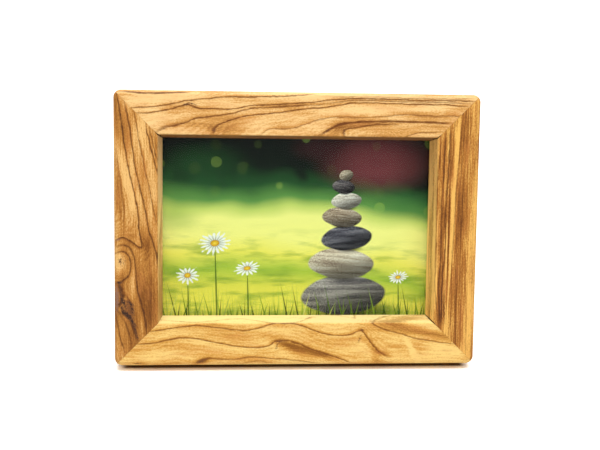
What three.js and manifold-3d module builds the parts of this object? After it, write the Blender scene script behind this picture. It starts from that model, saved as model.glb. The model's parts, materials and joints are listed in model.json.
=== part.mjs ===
// Olive wood picture frame for a 10 x 15 cm print, standing on its easel leg.
// Millimetres, +Z up. The frame faces -Y and leans back; the origin is the middle of its footprint.
import * as THREE from 'three';
import { mergeVertices } from 'three/addons/utils/BufferGeometryUtils.js';
import Module from 'manifold-3d';

const wasm = await Module();
wasm.setup();

const RIGHT_ANGLE = Math.PI / 2;

// Fits between pieces, and how far a cutting shape runs past the face it cuts
const SEAT_GAP = 0.3;
const HOLE_CLEARANCE = 0.1;
const CUT_MARGIN = 1;

// Facets of round shapes
const ARC_STEPS = 6;
const FASTENER_STEPS = 16;
const BARREL_STEPS = 24;
const DOME_STEPS = 3;

// Print and the room round it in the rebate
const PRINT_WIDTH = 152;
const PRINT_HEIGHT = 102;
const PRINT_THICKNESS = 0.25;
const PRINT_SIDE_ROOM = 0.5;
const PRINT_END_ROOM = 1;

// Glass and back panel
const GLASS_THICKNESS = 2;
const PANEL_THICKNESS = 3;
const PANE_ROOM = 0.5;

// Rails
const RAIL_WIDTH = 25;
const RAIL_THICKNESS = 20;
const LEDGE_WIDTH = 3;
const INNER_WALL_DRAFT = 1.7;
const INNER_EDGE_RADIUS = 0.8;
const OUTER_EDGE_RADIUS = 2.5;
const CORNER_RADIUS = 4;
const MITRE_GAP = 0.3;

// V-nails across the mitres
const V_NAIL_LEG = 5;
const V_NAIL_THICKNESS = 0.5;
const V_NAIL_DEPTH = 7;
const V_NAIL_INSET = 10;
const V_NAIL_RECESS = 0.2;

// Turn buttons and their screws
const BUTTON_FROM_REBATE_END = 26.5;
const BUTTON_SET_BACK = 7.5;
const BUTTON_REACH = 13.5;
const BUTTON_HEAD_RADIUS = 5;
const BUTTON_TIP_RADIUS = 3.2;
const BUTTON_THICKNESS = 1;
const SCREW_SHANK_RADIUS = 1.3;
const SCREW_HEAD_RADIUS = 2.8;
const SCREW_HEAD_HEIGHT = 1.6;
const SCREW_LENGTH = 9;
const SCREW_TIP = 2;
const RECESS_SPAN = 3.2;
const RECESS_SLOT = 0.7;
const RECESS_DEPTH = 0.9;
const HEAD_RIM_SHARE = 0.35;

// Stance
const LEAN_ANGLE = THREE.MathUtils.degToRad(12);
const LEG_OPENING = THREE.MathUtils.degToRad(24);

// Strut hinge, built round its pin
const HINGE_ABOVE_CENTRE = 24;
const LEAF_WIDTH = 24;
const LEAF_LENGTH = 20;
const LEAF_THICKNESS = 0.8;
const LEAF_CORNER_RADIUS = 3;
const KNUCKLE_RADIUS = 2.2;
const KNUCKLE_SPAN = 14.4;
const KNUCKLE_MIDDLE = 6;
const KNUCKLE_GAP = 0.2;
const PIN_RADIUS = 1;
const PIN_CLEARANCE = 0.08;
const PIN_HEAD_RADIUS = 1.6;
const PIN_HEAD_LENGTH = 0.6;
const HEEL_WIDTH = 3.5;
const RIVET_SPACING = 14;
const RIVET_FROM_LEAF_END = 6;
const RIVET_SHANK_RADIUS = 1.5;
const RIVET_HEAD_RADIUS = 3;
const RIVET_HEAD_HEIGHT = 1.1;
const RIVET_RECESS = 0.2;

// Easel leg
const LEG_THICKNESS = 3;
const LEG_TOP_WIDTH = 28;
const LEG_FOOT_WIDTH = 44;
const LEG_CORNER_RADIUS = 4;
const LEG_BELOW_PIN = 3.4;

// Sawtooth hanger
const HANGER_LENGTH = 44;
const HANGER_TAB = 8;
const HANGER_JOGGLE = 3;
const HANGER_RISE = 1.8;
const HANGER_THICKNESS = 0.8;
const HANGER_HEIGHT = 10;
const HANGER_EDGE_INSET = 6;
const TOOTH_PITCH = 2;
const TOOTH_DEPTH = 1.6;
const TOOTH_COUNT = 9;
const NAIL_SHANK_RADIUS = 0.7;
const NAIL_HEAD_RADIUS = 1.9;
const NAIL_HEAD_HEIGHT = 0.7;
const NAIL_LENGTH = 9;
const NAIL_TIP = 1.5;

// Sizes that follow
const REBATE_WIDTH = PRINT_WIDTH + 2 * PRINT_SIDE_ROOM;
const REBATE_HEIGHT = PRINT_HEIGHT + 2 * PRINT_END_ROOM;
const FRAME_WIDTH = REBATE_WIDTH + 2 * (RAIL_WIDTH - LEDGE_WIDTH);
const FRAME_HEIGHT = REBATE_HEIGHT + 2 * (RAIL_WIDTH - LEDGE_WIDTH);
const PRINT_REAR = -PANEL_THICKNESS - SEAT_GAP;
const GLASS_REAR = PRINT_REAR - PRINT_THICKNESS - SEAT_GAP;
const REBATE_DEPTH = -GLASS_REAR + GLASS_THICKNESS + SEAT_GAP;
const BUTTON_PIVOT = RAIL_WIDTH - LEDGE_WIDTH - BUTTON_SET_BACK;
const BUTTON_FROM_MIDDLE = REBATE_WIDTH / 2 - BUTTON_FROM_REBATE_END;
const PIN_BEHIND_PANEL = SEAT_GAP + KNUCKLE_RADIUS;
const PIN_HEIGHT = FRAME_HEIGHT / 2 + HINGE_ABOVE_CENTRE;
const LEAF_OFFSET = KNUCKLE_RADIUS - LEAF_THICKNESS;
const RIVET_FROM_PIN = LEAF_LENGTH - RIVET_FROM_LEAF_END;
const LEG_REAR = LEAF_OFFSET - SEAT_GAP;

const OLIVE_WOOD = { color: '#c8924f', roughness: 0.5, metalness: 0 };
const GLASS = { color: '#eef4f2', roughness: 0.05, metalness: 0, transparent: true, opacity: 0.25 };
const PRINTED_PAPER = { color: '#8fa03a', roughness: 0.4, metalness: 0 };
const FIBREBOARD = { color: '#8a6a4a', roughness: 0.85, metalness: 0 };
const ZINC_STEEL = { color: '#b9bcc0', roughness: 0.35, metalness: 1 };
const BRASSED_STEEL = { color: '#c9a95c', roughness: 0.3, metalness: 1 };

// Closed geometry as a solid that can be joined and cut
function solidOf(geometry) {
  const bare = geometry.clone();
  bare.deleteAttribute('normal');
  bare.deleteAttribute('uv');
  const merged = mergeVertices(bare, 1e-5);
  const corners = merged.index.array;
  const kept = [];
  for (let i = 0; i < corners.length; i += 3) {
    const [a, b, c] = [corners[i], corners[i + 1], corners[i + 2]];
    if (a !== b && b !== c && c !== a) kept.push(a, b, c);
  }
  return new wasm.Manifold(new wasm.Mesh({
    numProp: 3,
    vertProperties: new Float32Array(merged.attributes.position.array),
    triVerts: new Uint32Array(kept),
  }));
}

function geometryOf(solid) {
  const { vertProperties, triVerts } = solid.getMesh();
  const geometry = new THREE.BufferGeometry();
  geometry.setAttribute('position', new THREE.BufferAttribute(vertProperties, 3));
  geometry.setIndex(new THREE.BufferAttribute(triVerts, 1));
  geometry.computeVertexNormals();
  return geometry;
}

function piece(name, geometry, finish) {
  const mesh = new THREE.Mesh(geometry, new THREE.MeshStandardMaterial({ ...finish, flatShading: true }));
  mesh.name = name;
  return mesh;
}

// Plate whose outline is drawn in x and z, with its rear face at rear and its front face thickness nearer -Y
function plate(outline, thickness, rear) {
  const flat = new THREE.ExtrudeGeometry(outline, {
    depth: thickness,
    bevelEnabled: false,
    curveSegments: ARC_STEPS,
  });
  return flat.rotateX(RIGHT_ANGLE).translate(0, rear, 0);
}

function polygon(points) {
  return new THREE.Shape(points.map(([x, y]) => new THREE.Vector2(x, y)));
}

function roundedRectangle(width, height, radius) {
  const x = width / 2 - radius;
  const z = height / 2 - radius;
  const outline = new THREE.Shape();
  outline.absarc(x, z, radius, 0, RIGHT_ANGLE);
  outline.absarc(-x, z, radius, RIGHT_ANGLE, 2 * RIGHT_ANGLE);
  outline.absarc(-x, -z, radius, 2 * RIGHT_ANGLE, 3 * RIGHT_ANGLE);
  outline.absarc(x, -z, radius, 3 * RIGHT_ANGLE, 4 * RIGHT_ANGLE);
  outline.closePath();
  return outline;
}

// Round piece along Y from its radius and height at each step of its profile, which runs upwards
function turned(profile, steps) {
  return new THREE.LatheGeometry(profile.map(([radius, y]) => new THREE.Vector2(radius, y)), steps);
}

// Round hole along Y, open at its rear end
function hole(x, z, radius, depth, rear) {
  return new THREE.CylinderGeometry(radius, radius, depth + CUT_MARGIN, FASTENER_STEPS)
    .translate(x, rear + (CUT_MARGIN - depth) / 2, z);
}

// Fastener along Y: its domed head sits behind y = 0 and its shank runs towards -Y
function headedPin({ shank, head, headHeight, length, tip }) {
  const rim = headHeight * HEAD_RIM_SHARE;
  const profile = [[0, -length], [shank, -length + tip], [shank, 0], [head, 0]];
  for (let i = 0; i < DOME_STEPS; i += 1) {
    const angle = (i / DOME_STEPS) * RIGHT_ANGLE;
    profile.push([head * Math.cos(angle), rim + (headHeight - rim) * Math.sin(angle)]);
  }
  profile.push([0, headHeight]);
  return turned(profile, FASTENER_STEPS);
}

// Rail section: across the rail from its outer edge, and up from its rear face to its front
function railSection() {
  const innerFront = RAIL_WIDTH - INNER_WALL_DRAFT;
  const section = new THREE.Shape();
  section.moveTo(0, 0);
  section.lineTo(RAIL_WIDTH - LEDGE_WIDTH, 0);
  section.lineTo(RAIL_WIDTH - LEDGE_WIDTH, REBATE_DEPTH);
  section.lineTo(RAIL_WIDTH, REBATE_DEPTH);
  section.absarc(innerFront - INNER_EDGE_RADIUS, RAIL_THICKNESS - INNER_EDGE_RADIUS,
    INNER_EDGE_RADIUS, 0, RIGHT_ANGLE);
  section.absarc(OUTER_EDGE_RADIUS, RAIL_THICKNESS - OUTER_EDGE_RADIUS,
    OUTER_EDGE_RADIUS, RIGHT_ANGLE, 2 * RIGHT_ANGLE);
  section.closePath();
  return section;
}

// L-shaped outline of a V-nail, or of its slot when grown, at the rail end that end points to
function vNailOutline(side, end, grow) {
  const x = -side.length / 2 + V_NAIL_INSET - grow;
  const z = -side.distance + V_NAIL_INSET - grow;
  const leg = V_NAIL_LEG + 2 * grow;
  const thick = V_NAIL_THICKNESS + 2 * grow;
  const corners = [[0, 0], [leg, 0], [leg, thick], [thick, thick], [thick, leg], [0, leg]];
  return polygon(corners.map(([a, b]) => [-end * (x + a), z + b]));
}

// A rail lies along x below the frame's middle, with its outer edge at z = -distance
function railSolid(side) {
  const { length, distance, buttons, nails } = side;
  const bar = new THREE.ExtrudeGeometry(railSection(), {
    depth: length,
    bevelEnabled: false,
    curveSegments: ARC_STEPS,
  });
  bar.applyMatrix4(new THREE.Matrix4().makeBasis(
    new THREE.Vector3(0, 0, 1), new THREE.Vector3(0, -1, 0), new THREE.Vector3(1, 0, 0)));
  bar.translate(-length / 2, 0, -distance);

  const half = length / 2 - MITRE_GAP / Math.SQRT2;
  const top = RAIL_WIDTH + CUT_MARGIN;
  const mitred = polygon([
    [-half - CUT_MARGIN, -distance - CUT_MARGIN],
    [half + CUT_MARGIN, -distance - CUT_MARGIN],
    [half - top, -distance + top],
    [-half + top, -distance + top],
  ]);
  const through = RAIL_THICKNESS + 2 * CUT_MARGIN;
  const rounded = roundedRectangle(length, 2 * distance, CORNER_RADIUS);
  let rail = solidOf(bar)
    .intersect(solidOf(plate(mitred, through, CUT_MARGIN)))
    .intersect(solidOf(plate(rounded, through, CUT_MARGIN)));

  for (const end of [-1, 1]) {
    const slot = vNailOutline(side, end, HOLE_CLEARANCE);
    const depth = V_NAIL_DEPTH + V_NAIL_RECESS + HOLE_CLEARANCE;
    rail = rail.subtract(solidOf(plate(slot, depth + CUT_MARGIN, CUT_MARGIN)));
  }
  const pilot = SCREW_SHANK_RADIUS + HOLE_CLEARANCE;
  for (const x of buttons) {
    const z = -distance + BUTTON_PIVOT;
    rail = rail.subtract(solidOf(hole(x, z, pilot, SCREW_LENGTH, 0)));
  }
  for (const x of nails) {
    const z = -distance + HANGER_EDGE_INSET + HANGER_HEIGHT / 2;
    rail = rail.subtract(solidOf(hole(x, z, NAIL_SHANK_RADIUS + HOLE_CLEARANCE, NAIL_LENGTH, 0)));
  }
  return rail;
}

function vNail(side) {
  const geometry = plate(vNailOutline(side, -1, 0), V_NAIL_DEPTH, -V_NAIL_RECESS);
  return piece(`v_nail_${side.corner}`, geometry, ZINC_STEEL);
}

// Turn button: a round head on its screw, and a tongue that narrows to a round tip over the panel
function turnButton(name) {
  const reach = BUTTON_REACH - BUTTON_TIP_RADIUS;
  const slope = Math.asin((BUTTON_HEAD_RADIUS - BUTTON_TIP_RADIUS) / reach);
  const outline = new THREE.Shape();
  outline.absarc(0, reach, BUTTON_TIP_RADIUS, slope, Math.PI - slope);
  outline.absarc(0, 0, BUTTON_HEAD_RADIUS, Math.PI - slope, 2 * Math.PI + slope);
  outline.closePath();
  const bore = new THREE.Path();
  bore.absarc(0, 0, SCREW_SHANK_RADIUS + 2 * HOLE_CLEARANCE, 0, 2 * Math.PI, true);
  outline.holes.push(bore);
  return piece(name, plate(outline, BUTTON_THICKNESS, SEAT_GAP + BUTTON_THICKNESS), ZINC_STEEL);
}

// Pan head screw with a cross recess, its head behind y = 0
function turnButtonScrew(name) {
  const sunk = 2 * SEAT_GAP + BUTTON_THICKNESS;
  let screw = solidOf(headedPin({
    shank: SCREW_SHANK_RADIUS,
    head: SCREW_HEAD_RADIUS,
    headHeight: SCREW_HEAD_HEIGHT,
    length: SCREW_LENGTH + sunk - HOLE_CLEARANCE,
    tip: SCREW_TIP,
  }));
  const depth = RECESS_DEPTH + CUT_MARGIN;
  const middle = SCREW_HEAD_HEIGHT - RECESS_DEPTH + depth / 2;
  for (const [wide, high] of [[RECESS_SPAN, RECESS_SLOT], [RECESS_SLOT, RECESS_SPAN]]) {
    screw = screw.subtract(solidOf(new THREE.BoxGeometry(wide, depth, high).translate(0, middle, 0)));
  }
  const geometry = geometryOf(screw).translate(0, sunk, 0);
  return piece(name, geometry, ZINC_STEEL);
}

// Sawtooth hanger: a joggled strip along x, its toothed edge towards +z
function hangerPlate() {
  const end = HANGER_LENGTH / 2;
  const step = end - HANGER_TAB;
  const raised = step - HANGER_JOGGLE;
  const low = SEAT_GAP;
  const high = SEAT_GAP + HANGER_RISE;
  const under = [[-end, low], [-step, low], [-raised, high], [raised, high], [step, low], [end, low]];
  const over = under.map(([x, y]) => [x, y + HANGER_THICKNESS]).reverse();
  const strip = new THREE.ExtrudeGeometry(polygon([...under, ...over]), {
    depth: HANGER_HEIGHT,
    bevelEnabled: false,
  }).translate(0, 0, -HANGER_HEIGHT / 2);

  const teeth = [[-TOOTH_COUNT * TOOTH_PITCH / 2, HANGER_HEIGHT / 2 + CUT_MARGIN]];
  for (let i = 0; i < TOOTH_COUNT; i += 1) {
    const left = (i - TOOTH_COUNT / 2) * TOOTH_PITCH;
    teeth.push([left, HANGER_HEIGHT / 2]);
    teeth.push([left + TOOTH_PITCH / 2, HANGER_HEIGHT / 2 - TOOTH_DEPTH]);
  }
  teeth.push([TOOTH_COUNT * TOOTH_PITCH / 2, HANGER_HEIGHT / 2]);
  teeth.push([TOOTH_COUNT * TOOTH_PITCH / 2, HANGER_HEIGHT / 2 + CUT_MARGIN]);
  const deep = high + HANGER_THICKNESS + CUT_MARGIN;
  let hanger = solidOf(strip).subtract(solidOf(plate(polygon(teeth.reverse()), deep, deep)));
  for (const x of nailPlaces()) {
    const bore = hole(x, 0, NAIL_SHANK_RADIUS + 2 * HOLE_CLEARANCE, 2 * deep, deep);
    hanger = hanger.subtract(solidOf(bore));
  }
  return piece('hanger_plate', geometryOf(hanger), BRASSED_STEEL);
}

function nailPlaces() {
  const x = (HANGER_LENGTH - HANGER_TAB) / 2;
  return [-x, x];
}

function hangerNail(name) {
  const sunk = 2 * SEAT_GAP + HANGER_THICKNESS;
  const geometry = headedPin({
    shank: NAIL_SHANK_RADIUS,
    head: NAIL_HEAD_RADIUS,
    headHeight: NAIL_HEAD_HEIGHT,
    length: NAIL_LENGTH + sunk - HOLE_CLEARANCE,
    tip: NAIL_TIP,
  }).translate(0, sunk, 0);
  return piece(name, geometry, BRASSED_STEEL);
}

// Barrel of a hinge leaf round the pin, between two places along x
function knuckle(from, to) {
  return solidOf(new THREE.CylinderGeometry(KNUCKLE_RADIUS, KNUCKLE_RADIUS, to - from, BARREL_STEPS)
    .rotateZ(RIGHT_ANGLE)
    .translate((from + to) / 2, 0, 0));
}

function boredForPin(leaf) {
  const radius = PIN_RADIUS + PIN_CLEARANCE;
  const bore = new THREE.CylinderGeometry(radius, radius, LEAF_WIDTH, BARREL_STEPS).rotateZ(RIGHT_ANGLE);
  return leaf.subtract(solidOf(bore));
}

function boredForRivets(board, up, rear, depth) {
  let bored = board;
  for (const x of [-RIVET_SPACING / 2, RIVET_SPACING / 2]) {
    const radius = RIVET_SHANK_RADIUS + HOLE_CLEARANCE;
    bored = bored.subtract(solidOf(hole(x, up * RIVET_FROM_PIN, radius, depth, rear)));
  }
  return bored;
}

// Leaf on the panel: it rises from its two outer knuckles
function hingePanelLeaf() {
  const side = LEAF_WIDTH / 2;
  const barrel = KNUCKLE_SPAN / 2;
  const middle = KNUCKLE_MIDDLE / 2 + KNUCKLE_GAP;
  const clear = KNUCKLE_RADIUS + SEAT_GAP;
  const outline = polygon([
    [-side, clear], [-barrel, clear], [-barrel, 0], [-middle, 0], [-middle, clear],
    [middle, clear], [middle, 0], [barrel, 0], [barrel, clear], [side, clear],
    [side, LEAF_LENGTH - LEAF_CORNER_RADIUS], [side - LEAF_CORNER_RADIUS, LEAF_LENGTH],
    [-side + LEAF_CORNER_RADIUS, LEAF_LENGTH], [-side, LEAF_LENGTH - LEAF_CORNER_RADIUS],
  ]);
  const leaf = solidOf(plate(outline, LEAF_THICKNESS, -LEAF_OFFSET))
    .add(knuckle(-barrel, -middle))
    .add(knuckle(middle, barrel));
  const depth = LEAF_THICKNESS + CUT_MARGIN;
  const bored = boredForRivets(boredForPin(leaf), 1, -LEAF_OFFSET, depth);
  return piece('hinge_panel_leaf', geometryOf(bored), ZINC_STEEL);
}

// Leaf on the leg: it hangs from the middle knuckle, and its two heels rise past the pin as stops
function hingeLegLeaf() {
  const side = LEAF_WIDTH / 2;
  const heel = side - HEEL_WIDTH;
  const middle = KNUCKLE_MIDDLE / 2;
  const clear = KNUCKLE_RADIUS + SEAT_GAP;
  const swing = LEAF_OFFSET * (1 + Math.cos(LEG_OPENING)) - SEAT_GAP;
  const heelTop = swing / Math.sin(LEG_OPENING);
  const outline = polygon([
    [-side, heelTop], [-side, -LEAF_LENGTH + LEAF_CORNER_RADIUS],
    [-side + LEAF_CORNER_RADIUS, -LEAF_LENGTH], [side - LEAF_CORNER_RADIUS, -LEAF_LENGTH],
    [side, -LEAF_LENGTH + LEAF_CORNER_RADIUS], [side, heelTop], [heel, heelTop], [heel, -clear],
    [middle, -clear], [middle, 0], [-middle, 0], [-middle, -clear], [-heel, -clear], [-heel, heelTop],
  ]);
  const leaf = solidOf(plate(outline, LEAF_THICKNESS, KNUCKLE_RADIUS)).add(knuckle(-middle, middle));
  const depth = LEAF_THICKNESS + CUT_MARGIN;
  const bored = boredForRivets(boredForPin(leaf), -1, KNUCKLE_RADIUS, depth);
  return piece('hinge_leg_leaf', geometryOf(bored), ZINC_STEEL);
}

function hingePin() {
  const end = KNUCKLE_SPAN / 2 + KNUCKLE_GAP;
  const head = end + PIN_HEAD_LENGTH;
  const geometry = turned([
    [0, -head], [PIN_HEAD_RADIUS, -head], [PIN_HEAD_RADIUS, -end], [PIN_RADIUS, -end],
    [PIN_RADIUS, end], [PIN_HEAD_RADIUS, end], [PIN_HEAD_RADIUS, head], [0, head],
  ], BARREL_STEPS).rotateZ(RIGHT_ANGLE);
  return piece('hinge_pin', geometry, ZINC_STEEL);
}

// Rivet through a leaf and a board, its domed head behind y = 0 and its other end just inside the board
function rivet(name, boardThickness) {
  const length = 2 * SEAT_GAP + LEAF_THICKNESS + boardThickness - RIVET_RECESS;
  return piece(name, headedPin({
    shank: RIVET_SHANK_RADIUS,
    head: RIVET_HEAD_RADIUS,
    headHeight: RIVET_HEAD_HEIGHT,
    length,
    tip: 0,
  }), BRASSED_STEEL);
}

function rivetPair(where, up, rear, boardThickness) {
  return [['left', -1], ['right', 1]].map(([side, sign]) => {
    const mesh = rivet(`hinge_rivet_${where}_${side}`, boardThickness);
    mesh.position.set(sign * RIVET_SPACING / 2, rear + SEAT_GAP, up * RIVET_FROM_PIN);
    return mesh;
  });
}

// Leg in its folded place below the pin, its foot cut to lie flat on the table once it is swung open
function easelLeg(pinAboveTable) {
  const tilt = LEG_OPENING - LEAN_ANGLE;
  const length = (pinAboveTable + LEG_FOOT_WIDTH) / Math.cos(tilt);
  const taper = (LEG_FOOT_WIDTH - LEG_TOP_WIDTH) / 2 / pinAboveTable;
  const top = LEG_TOP_WIDTH / 2;
  const foot = top + taper * length;
  const outline = polygon([
    [-foot, -length], [foot, -length], [top, -LEG_BELOW_PIN - LEG_CORNER_RADIUS],
    [top - LEG_CORNER_RADIUS, -LEG_BELOW_PIN], [-top + LEG_CORNER_RADIUS, -LEG_BELOW_PIN],
    [-top, -LEG_BELOW_PIN - LEG_CORNER_RADIUS],
  ]);
  const table = new THREE.BoxGeometry(4 * foot, 4 * length, length)
    .translate(0, 0, -length / 2 - pinAboveTable)
    .rotateX(-tilt);
  const board = solidOf(plate(outline, LEG_THICKNESS, LEG_REAR)).subtract(solidOf(table));
  const bored = boredForRivets(board, -1, LEG_REAR, LEG_THICKNESS + CUT_MARGIN);
  return piece('easel_leg', geometryOf(bored), FIBREBOARD);
}

function backPanel() {
  const outline = roundedRectangle(REBATE_WIDTH - 2 * PANE_ROOM, REBATE_HEIGHT - 2 * PANE_ROOM, PANE_ROOM);
  const board = solidOf(plate(outline, PANEL_THICKNESS, 0).translate(0, 0, -HINGE_ABOVE_CENTRE));
  const bored = boredForRivets(board, 1, 0, PANEL_THICKNESS + CUT_MARGIN);
  const panel = piece('back_panel', geometryOf(bored), FIBREBOARD);
  panel.position.z = HINGE_ABOVE_CENTRE;
  return panel;
}

function glassPane() {
  const width = REBATE_WIDTH - 2 * PANE_ROOM;
  const height = REBATE_HEIGHT - 2 * PANE_ROOM;
  const pane = piece('glass_pane', new THREE.BoxGeometry(width, GLASS_THICKNESS, height), GLASS);
  pane.position.y = GLASS_REAR - GLASS_THICKNESS / 2;
  return pane;
}

function picturePrint() {
  const sheet = new THREE.BoxGeometry(PRINT_WIDTH, PRINT_THICKNESS, PRINT_HEIGHT);
  const print = piece('picture_print', sheet, PRINTED_PAPER);
  print.position.y = PRINT_REAR - PRINT_THICKNESS / 2;
  return print;
}

// One side of the frame, drawn as the bottom side and turned about the frame's middle
function frameSide(side) {
  const group = new THREE.Group();
  group.rotation.y = THREE.MathUtils.degToRad(side.turn);
  group.add(piece(`rail_${side.name}`, geometryOf(railSolid(side)), OLIVE_WOOD));
  group.add(vNail(side));
  side.buttons.forEach((x, i) => {
    const button = turnButton(`turn_button_${side.buttonNames[i]}`);
    const screw = turnButtonScrew(`turn_button_screw_${side.buttonNames[i]}`);
    for (const mesh of [button, screw]) {
      mesh.position.set(x, 0, -side.distance + BUTTON_PIVOT);
      group.add(mesh);
    }
  });
  return group;
}

function hanger(side) {
  const group = new THREE.Group();
  group.rotation.y = THREE.MathUtils.degToRad(side.turn);
  const seat = new THREE.Group();
  seat.position.z = -side.distance + HANGER_EDGE_INSET + HANGER_HEIGHT / 2;
  seat.add(hangerPlate());
  nailPlaces().forEach((x, i) => {
    const nail = hangerNail(`hanger_nail_${['right', 'left'][i]}`);
    nail.position.x = x;
    seat.add(nail);
  });
  group.add(seat);
  return group;
}

function strutHinge() {
  const pinAboveTable = PIN_HEIGHT * Math.cos(LEAN_ANGLE) - PIN_BEHIND_PANEL * Math.sin(LEAN_ANGLE);
  const hinge = new THREE.Group();
  hinge.position.set(0, PIN_BEHIND_PANEL, HINGE_ABOVE_CENTRE);
  hinge.add(hingePanelLeaf(), hingePin());
  hinge.add(...rivetPair('panel', 1, -LEAF_OFFSET, PANEL_THICKNESS));
  const strut = new THREE.Group();
  strut.rotation.x = LEG_OPENING;
  strut.add(easelLeg(pinAboveTable), hingeLegLeaf());
  strut.add(...rivetPair('leg', -1, KNUCKLE_RADIUS, LEG_THICKNESS));
  hinge.add(strut);
  return hinge;
}

const LONG_SIDE = {
  length: FRAME_WIDTH,
  distance: FRAME_HEIGHT / 2,
  buttons: [-BUTTON_FROM_MIDDLE, BUTTON_FROM_MIDDLE],
};
const SHORT_SIDE = {
  length: FRAME_HEIGHT,
  distance: FRAME_WIDTH / 2,
  buttons: [0],
  nails: [],
};

// Left and right are as seen from the front; each side carries the V-nail at its own left end
const SIDES = [
  { ...LONG_SIDE, name: 'bottom', turn: 0, corner: 'bottom_left', nails: [],
    buttonNames: ['bottom_left', 'bottom_right'] },
  { ...SHORT_SIDE, name: 'left', turn: 90, corner: 'top_left', buttonNames: ['left'] },
  { ...LONG_SIDE, name: 'top', turn: 180, corner: 'top_right', nails: nailPlaces(),
    buttonNames: ['top_right', 'top_left'] },
  { ...SHORT_SIDE, name: 'right', turn: -90, corner: 'bottom_right', buttonNames: ['right'] },
];

const assembly = new THREE.Group();
assembly.position.z = FRAME_HEIGHT / 2;
assembly.add(...SIDES.map(frameSide));
assembly.add(glassPane(), picturePrint(), backPanel(), hanger(SIDES[2]), strutHinge());

// The frame tips back about the rear lower edge of its bottom rail, which stands on the table
const leaning = new THREE.Group();
leaning.rotation.x = -LEAN_ANGLE;
leaning.add(assembly);

const pictureFrame = new THREE.Group();
pictureFrame.add(leaning);
const footprint = new THREE.Box3().setFromObject(pictureFrame, true);
leaning.position.y = -(footprint.min.y + footprint.max.y) / 2;
pictureFrame.updateMatrixWorld(true);

export default pictureFrame;
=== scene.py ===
"""Olive wood picture frame, dressed: four mitred rails, a glazed print, and the fittings at its back.

Sizes are in millimetres. Places are in the leaning frame's own directions: x to the right, y from the
rails' rear face backwards, z up along the frame from its lower edge.
"""

import json
import math
from collections import namedtuple

import bmesh
import bpy
import numpy as np
from mathutils import Matrix, Vector


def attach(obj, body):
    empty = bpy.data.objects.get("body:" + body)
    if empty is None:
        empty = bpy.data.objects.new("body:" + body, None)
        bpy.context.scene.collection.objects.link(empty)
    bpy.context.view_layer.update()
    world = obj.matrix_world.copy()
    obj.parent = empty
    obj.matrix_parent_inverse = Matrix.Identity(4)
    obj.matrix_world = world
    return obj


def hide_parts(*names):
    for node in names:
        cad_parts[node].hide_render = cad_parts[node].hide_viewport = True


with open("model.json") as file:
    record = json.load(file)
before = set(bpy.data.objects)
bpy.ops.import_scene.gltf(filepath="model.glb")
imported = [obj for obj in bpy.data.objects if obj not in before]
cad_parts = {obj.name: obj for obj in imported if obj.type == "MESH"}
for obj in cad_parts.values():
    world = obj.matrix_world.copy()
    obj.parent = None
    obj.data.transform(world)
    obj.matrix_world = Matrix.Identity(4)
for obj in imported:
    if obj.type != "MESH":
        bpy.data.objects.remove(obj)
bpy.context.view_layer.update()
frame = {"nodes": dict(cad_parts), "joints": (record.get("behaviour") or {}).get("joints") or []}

MM = 0.001

# Frame and rails
FRAME_WIDTH = 197
FRAME_HEIGHT = 148
RAIL_WIDTH = 25
RAIL_THICKNESS = 20
LEDGE_WIDTH = 3
REBATE_DEPTH = 6.15
INNER_WALL_DRAFT = 1.7
INNER_EDGE_RADIUS = 0.8
OUTER_EDGE_RADIUS = 2.5
CORNER_RADIUS = 4
EASED_EDGE = 0.4
CORNER_SANDING_REACH = 9

# Mitres: closed at their outer ends, and open towards the picture except at the lower left
MITRE_GAP_OUTSIDE = 0.02
MITRE_GAP_OPEN = 0.9
MITRE_GAP_TIGHT = 0.04
MITRE_OPENS_FROM = 21
MITRE_OPENS_PAST_REBATE = 1
MITRE_OPENING_RISE = 8

# V-nails and their slots
V_NAIL_LEG = 5
V_NAIL_THICKNESS = 0.5
V_NAIL_INSET = 10
V_NAIL_SLOT_DEPTH = 7.3
FIT = 0.1

# Print, glass and back panel
PRINT_WIDTH = 152
PRINT_HEIGHT = 102
PRINT_THICKNESS = 0.25
PRINT_REAR = -3.3
PANEL_WIDTH = 152
PANEL_HEIGHT = 103
PANEL_THICKNESS = 3
PANEL_CORNER_RADIUS = 0.5
BOARD_EDGE = 0.35
GLASS_GLOSS = 0.12

# Turn buttons and screws. The rib is round over a sweep in radians, and pointed past it.
BUTTON_FROM_MIDDLE = 50
BUTTON_PIVOT = 14.5
BUTTON_REACH = 10.3
BUTTON_HEAD_RADIUS = 5
BUTTON_TIP_RADIUS = 3.2
BUTTON_BORE_RADIUS = 1.5
BUTTON_REAR = 1.3
BUTTON_THICKNESS = 1
BUTTON_RIB = 0.3
RIB_WIDTH = 2.1
RIB_LENGTH = 5.8
RIB_MIDDLE = 7.6
RIB_SWEEP = 1.2
BOSS_RADIUS = 4.1
BOSS_FLAT_RADIUS = 3.3
SHEET_EDGE = 0.22
SCREW_SHANK_RADIUS = 1.3
SCREW_HEAD_RADIUS = 2.8
SCREW_HEAD_HEIGHT = 1.6
SCREW_HEAD_SEAT = 1.6
SCREW_DEPTH = 9
SCREW_TIP = 2
RECESS_SPAN = 3.2
RECESS_SLOT = 0.7
RECESS_DEPTH = 0.9
RECESS_TAPER = 0.55

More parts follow.
